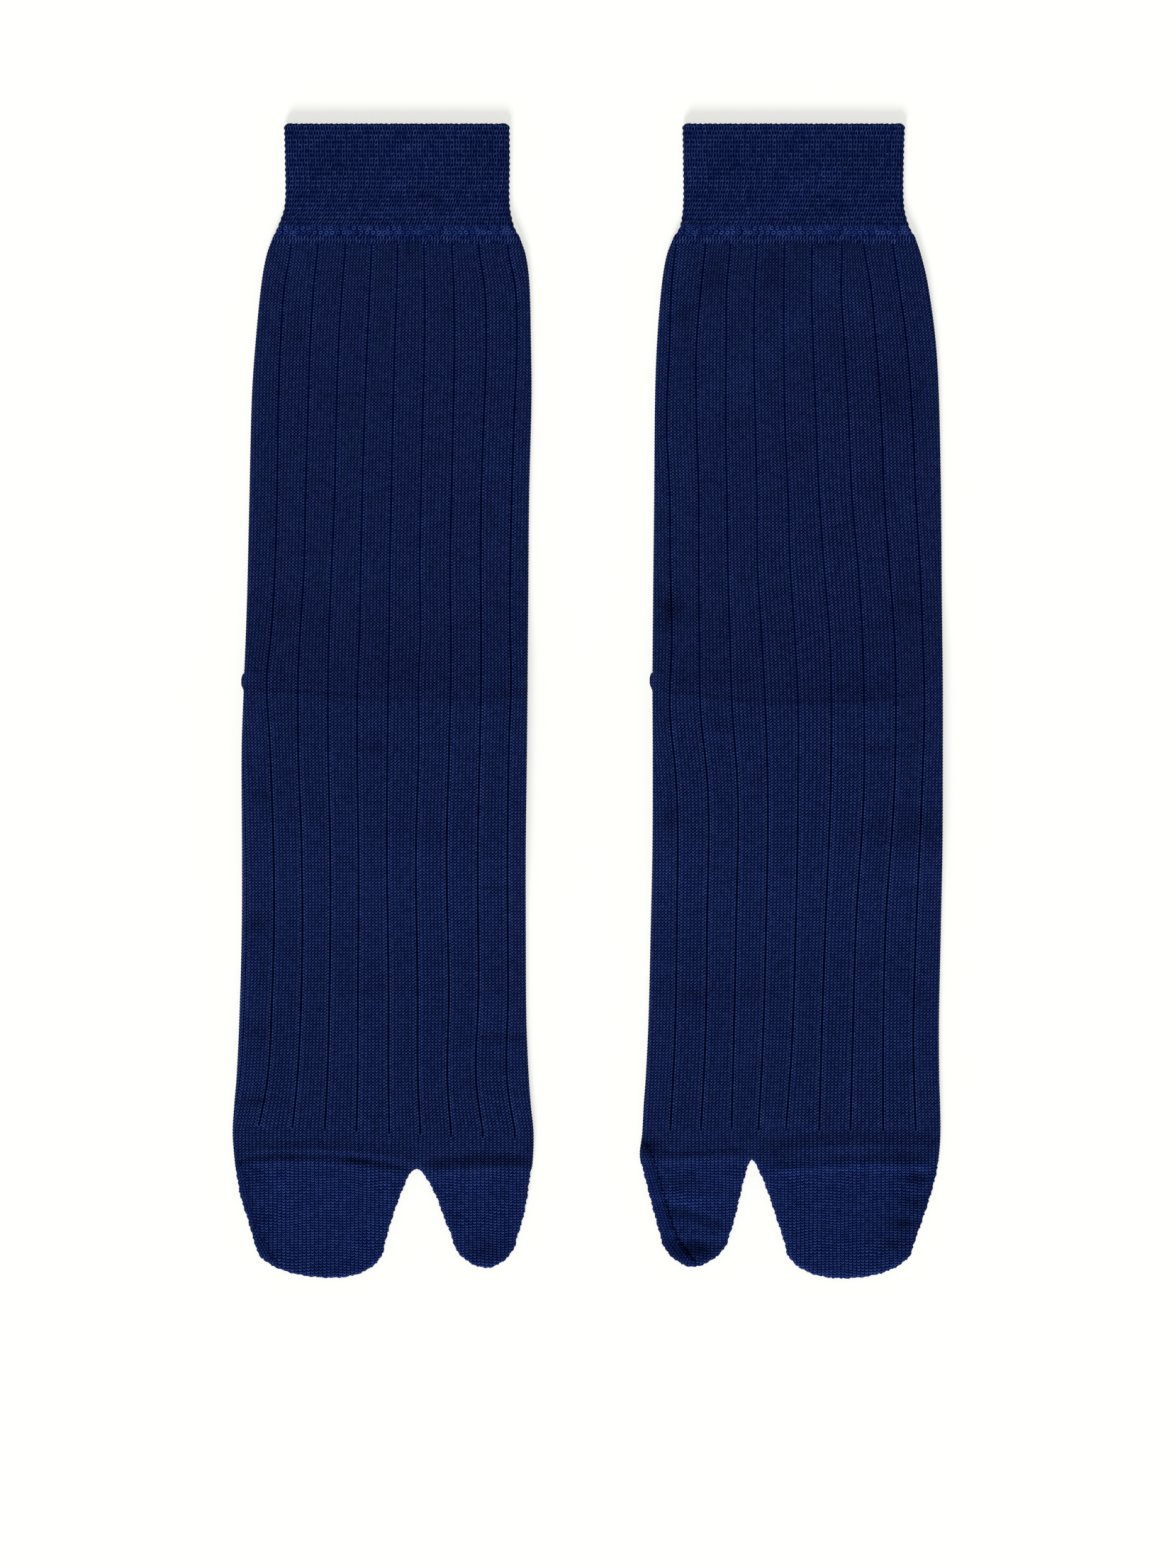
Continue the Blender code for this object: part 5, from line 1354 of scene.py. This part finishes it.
def loose_rows(knit):
    """The height of the loose rows at the cuff's foot: dark slots in rows, with lighter yarn between some of them."""
    rows = knit.down / LOOSE_ROW
    row = ((knit.down - LOOSE_START) / LOOSE_ROW).offset_from_whole()
    slot_wale = knit.across * LOOSE_SLOTS + row * 0.42 + knit.wander(230.0, 0.5)
    slot = slot_wale.offset_from_whole()
    lighter = dome(abs(slot) - 0.5, 0.26) * (0.4 + 0.6 * knit.each(slot_wale + 30.5, rows))
    yarn = 0.39 + 0.72 * lighter * (0.5 + knit.uneven(60.0))
    return from_centre(slot, 0.24, row, 0.25).rise(0.6, 1.3) * yarn


def sunk_wales(knit, rib, on_foot):
    """How far a place is from a sunk wale's middle, in wales, and how much painted shade it takes at the wale's bottom.
    """
    from_sunk = abs((knit.wale / RIB_WALES).offset_from_whole() * RIB_WALES)
    patches = (0.45 + 0.85 * knit.uneven(120.0)).least(1.0)
    sunk = (from_sunk * (1.8 - 0.7 * on_foot)).fall(*SUNK_SIDE) * rib * patches
    sunk = sunk * (0.55 + 0.45 * knit.down.rise(*DEEPENING_COURSES))
    from_middle = abs(abs(knit.across) - LEG_MIDDLE)
    return from_sunk, sunk * (1 - 0.35 * from_middle.fall(*LEG_REACH) * (1 - on_foot))


def ribbed_knit(knit):
    """Plain knit with a sunk purl wale every eighth, and slanted knit outside the toe seam."""
    knit.across, _ = knit.both(knit.place)
    begun, on_foot = knit.down.rise(*FIRST_COURSES), knit.down.rise(*FOOT_COURSES)
    rib, seam, toe = knit.mark("rib") * begun, knit.mark("seam"), knit.mark("toe")
    wale = knit.wale + knit.wander(230.0, 0.2)
    course = knit.course + knit.wander(260.0, 0.4) + knit.wander(75.0, 2.8, 1.0) * toe
    shape = between(toe, between(on_foot, LEG_STITCH, FOOT_STITCH), TOE_STITCH)
    height, along = stocking_stitch(wale, course, shape)
    own = knit.each(wale, along)

    from_sunk, sunk = sunk_wales(knit, rib, on_foot)
    channel = from_sunk.fall(*CHANNEL_SIDE) * rib
    beads = dome(from_sunk - BEAD_PLACE, 0.15) * dome((course + 0.3).offset_from_whole(), 0.46)
    beside = dome(from_sunk - BESIDE_PLACE, 0.24) * rib * (0.03 + 0.07 * on_foot)
    in_channel = 0.31 + (0.42 + 0.13 * on_foot + 0.35 * knit.uneven(300.0, 2.0)) * beads
    height = (height + beside) * (1 - channel) + in_channel * channel

    outer = seam.rise(-0.1, 0.5)
    strip, _ = stocking_stitch(seam, course, FOOT_STITCH)
    height = height * (1 - outer) + strip * outer
    height = height * begun + loose_rows(knit) * (1 - begun) + knit.fibres(0.30)

    # The bottoms of the sunk wales are painted with shade.
    colour = mixed(sunk, knit.yarn_shade_and_highlight(height, own, 1.18 + 0.04 * on_foot + 0.14 * toe), opaque(knit.colours.sunk))
    # Painted shade in the trough just inside each toe seam's ridge, stronger and weaker by turns along the courses, and
    # at full strength only across the span given above.
    seam_shade_share = 0.35 + 0.65 * knit.across.rise(*FULL_SEAM_SHADE_LEFT) * knit.across.fall(*FULL_SEAM_SHADE_RIGHT)
    seam_trough_shade = 1 - (0.55 + 0.35 * (course * math.pi).cosine()) * dome(seam + 0.5, 0.55) * seam_shade_share
    tone = (0.78 + 0.26 * own) * (0.97 + 0.06 * knit.uneven(45.0)) * (1 + 0.1 * outer) * seam_trough_shade
    tone = tone * (0.975 + 0.015 * on_foot) * (1 - 0.07 * toe) * (1.02 - 0.03 * begun)
    tint = mixed(toe, (1.0, 1.0, 1.0, 1.0), opaque(TOE_TINT))
    return bright(bright(colour, tint), tone * knit.mark("shade")), height - sunk * 0.5


def holed_knit(knit):
    """Knit with rows of small dark holes, above a few rows of staggered loops."""
    course = knit.course + knit.wander(240.0, 0.3) + knit.wander(650.0, 0.15, 1.0)
    shift = (knit.each(knit.wale * 0.0, course) - 0.5) * 0.7
    wale = knit.wale + shift + knit.wander(210.0, 0.4) + knit.wander(700.0, 0.4, 1.0)
    along = course.offset_from_whole()
    own, other = knit.each(wale, course), knit.each(wale + 40.0, course)
    lean = wale - along * (0.08 + 0.5 * (course * -1.0).rise(*LEANING_ROWS))
    across = lean.offset_from_whole()
    even = abs((lean / 2).offset_from_whole() * 2.0).fall(0.3, 0.7)
    place = from_centre(across, 0.24 + 0.05 * even, along, 0.25 + 0.06 * own)
    # The holes are painted with the dark shade colour of the gaps between stitches.
    hole = place.fall(0.7, 1.35) * (0.85 + 0.15 * other)
    strand = dome(across - 0.40, 0.20) * dome(along, 0.5)
    strand = strand + dome(place - 1.5, 0.45) * along.rise(0.0, 0.25) * even * other
    mesh = (1 - hole) * (0.40 + 0.08 * other + 0.62 * strand * (0.55 + 0.45 * own))
    mesh = mesh - (course * (2 * math.pi)).cosine() * 0.11

    last = knit.down.rise(*LOOP_ROWS)
    stagger = abs((wale / 2 + (course - along) * 0.5).offset_from_whole() * 2.0)
    place = from_centre(stagger, 0.64, along, 0.38)
    ring = dome(place - 0.84, 0.40) * (0.74 + 0.4 * (knit.uneven(60.0) - 0.45)) * (0.7 + 0.3 * own)
    loops = place.rise(0.15, 0.7) * (0.20 + 0.88 * ring + 0.5 * dome(place - 1.75, 0.45) * own)
    height = mesh * (1 - last) + loops * last + knit.fibres(0.24)
    tone = (0.79 + 0.08 * own) * (0.98 + 0.06 * knit.uneven(50.0)) * (1 + 0.38 * knit.down.rise(*LIGHTER_ROWS))
    return bright(knit.yarn_shade_and_highlight(height, own, 1.2), tone * knit.mark("shade")), height


def plain_knit(knit):
    """Plain knit without ribs."""
    height, along = stocking_stitch(knit.wale, knit.course + knit.wander(260.0, 0.5), LEG_STITCH)
    own = knit.each(knit.wale, along)
    return bright(knit.yarn_shade_and_highlight(height, own), 0.92 + 0.12 * own), height


# ---------- Operators ----------


def lay_both(kind, build, material, flat, area=None):
    """Builds one kind of piece for both socks, parents each to the root body and hides its CAD node."""
    for side in SOCKS:
        piece = build(side, material)
        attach(piece, "root")
        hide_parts(f"{kind}_{side}")
    return {"FINISHED"}


class TABI_OT_socks(bpy.types.Operator):
    """Knits the leg, foot and split toe of both socks"""

    bl_idname = "tabi.socks"
    bl_label = "Knit the socks"

    def execute(self, context):
        return lay_both("sock", build_sock, knit_material("rib_knit", ribbed_knit), SOCK_CLOTH, SOCK_AREA)


class TABI_OT_cuffs(bpy.types.Operator):
    """Knits both cuffs"""

    bl_idname = "tabi.cuffs"
    bl_label = "Knit the cuffs"

    def execute(self, context):
        return lay_both("cuff", build_cuff, knit_material("holed_cuff_knit", holed_knit), CUFF_CLOTH)


class TABI_OT_heels(bpy.types.Operator):
    """Folds both heel pouches beneath the feet"""

    bl_idname = "tabi.heels"
    bl_label = "Fold the heel pouches"

    def execute(self, context):
        return lay_both("heel", build_heel, knit_material("plain_heel_knit", plain_knit), HEEL_CLOTH)


def set_sockets(node, values):
    for name, value in values.items():
        node.inputs[name].default_value = value


class TABI_OT_stage(bpy.types.Operator):
    """Sets up the table, the lights and the camera"""

    bl_idname = "tabi.stage"
    bl_label = "Set the stage"

    def execute(self, context):
        scene, stage = context.scene, context.scene.tabi_stage
        surface = bpy.data.materials.new("pale_table")
        surface.use_nodes = True
        look = {
            "Base Color": opaque(stage.floor),
            "Roughness": 0.9,
            "Specular IOR Level": 0.0,
            "Emission Color": TABLE_GLOW_COLOUR,
            "Emission Strength": stage.glow,
        }
        set_sockets(surface.node_tree.nodes["Principled BSDF"], look)
        mesh = bpy.data.meshes.new("table")
        corners = [(x * TABLE_HALF, y * TABLE_HALF, TABLE_TOP) for x, y in ((-1, -1), (1, -1), (1, 1), (-1, 1))]
        mesh.from_pydata(corners, [], [(0, 1, 2, 3)])
        mesh.materials.append(surface)
        add_object("table", mesh)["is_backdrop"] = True

        key = bpy.data.lights.new("key", "SUN")
        key.energy, key.angle, key.color = stage.key, stage.softness, LAMP_COLOUR
        add_object("key", key).rotation_euler = (math.pi / 2 - stage.elevation, 0.0, -stage.turn)

        scene.world = bpy.data.worlds.new("studio")
        scene.world.use_nodes = True
        background = scene.world.node_tree.nodes["Background"]
        set_sockets(background, {"Color": opaque(LAMP_COLOUR), "Strength": stage.fill})

        lens = bpy.data.cameras.new("camera")
        lens.sensor_fit, lens.sensor_width = "AUTO", SENSOR
        lens.lens = SENSOR * (stage.distance - SOCK_HEIGHT * MM) / (FRAME_POINTS * POINT_SIZE * MM)
        lens.clip_end = VIEW_END
        scene.camera = add_object("camera", lens)
        scene.camera.location = (CAMERA_PLACE[0] * MM, CAMERA_PLACE[1] * MM, stage.distance)
        scene.view_settings.view_transform = "Standard"
        return {"FINISHED"}


class TABI_PT_panel(bpy.types.Panel):
    """Lists the steps and the sizes and colours they read"""

    bl_label = "Tabi socks"
    bl_idname = "TABI_PT_panel"
    bl_space_type = "VIEW_3D"
    bl_region_type = "UI"
    bl_category = "Tabi socks"

    def draw(self, context):
        for step in OPERATORS:
            self.layout.operator(step.bl_idname)
        for name in GROUPS:
            box, group = self.layout.box(), getattr(context.scene, name)
            for setting in group.__annotations__:
                box.prop(group, setting)


OPERATORS = (TABI_OT_socks, TABI_OT_cuffs, TABI_OT_heels, TABI_OT_stage)
GROUPS = {"tabi_knit": KnitSizes, "tabi_colours": KnitColours, "tabi_stage": StageSettings}


def register():
    for kind in (*GROUPS.values(), *OPERATORS, TABI_PT_panel):
        bpy.utils.register_class(kind)
    for name, group in GROUPS.items():
        setattr(bpy.types.Scene, name, bpy.props.PointerProperty(type=group))


def unregister():
    for name in GROUPS:
        delattr(bpy.types.Scene, name)
    for kind in (TABI_PT_panel, *reversed(OPERATORS), *reversed(GROUPS.values())):
        bpy.utils.unregister_class(kind)


def main():
    register()
    bpy.ops.tabi.socks()
    bpy.ops.tabi.cuffs()
    bpy.ops.tabi.heels()
    bpy.ops.tabi.stage()
    boxes = {"cad": CAD_BOX, "visual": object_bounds()}
    {name: [list(low), list(high)] for name, (low, high) in boxes.items()}


if __name__ == "__main__":
    main()
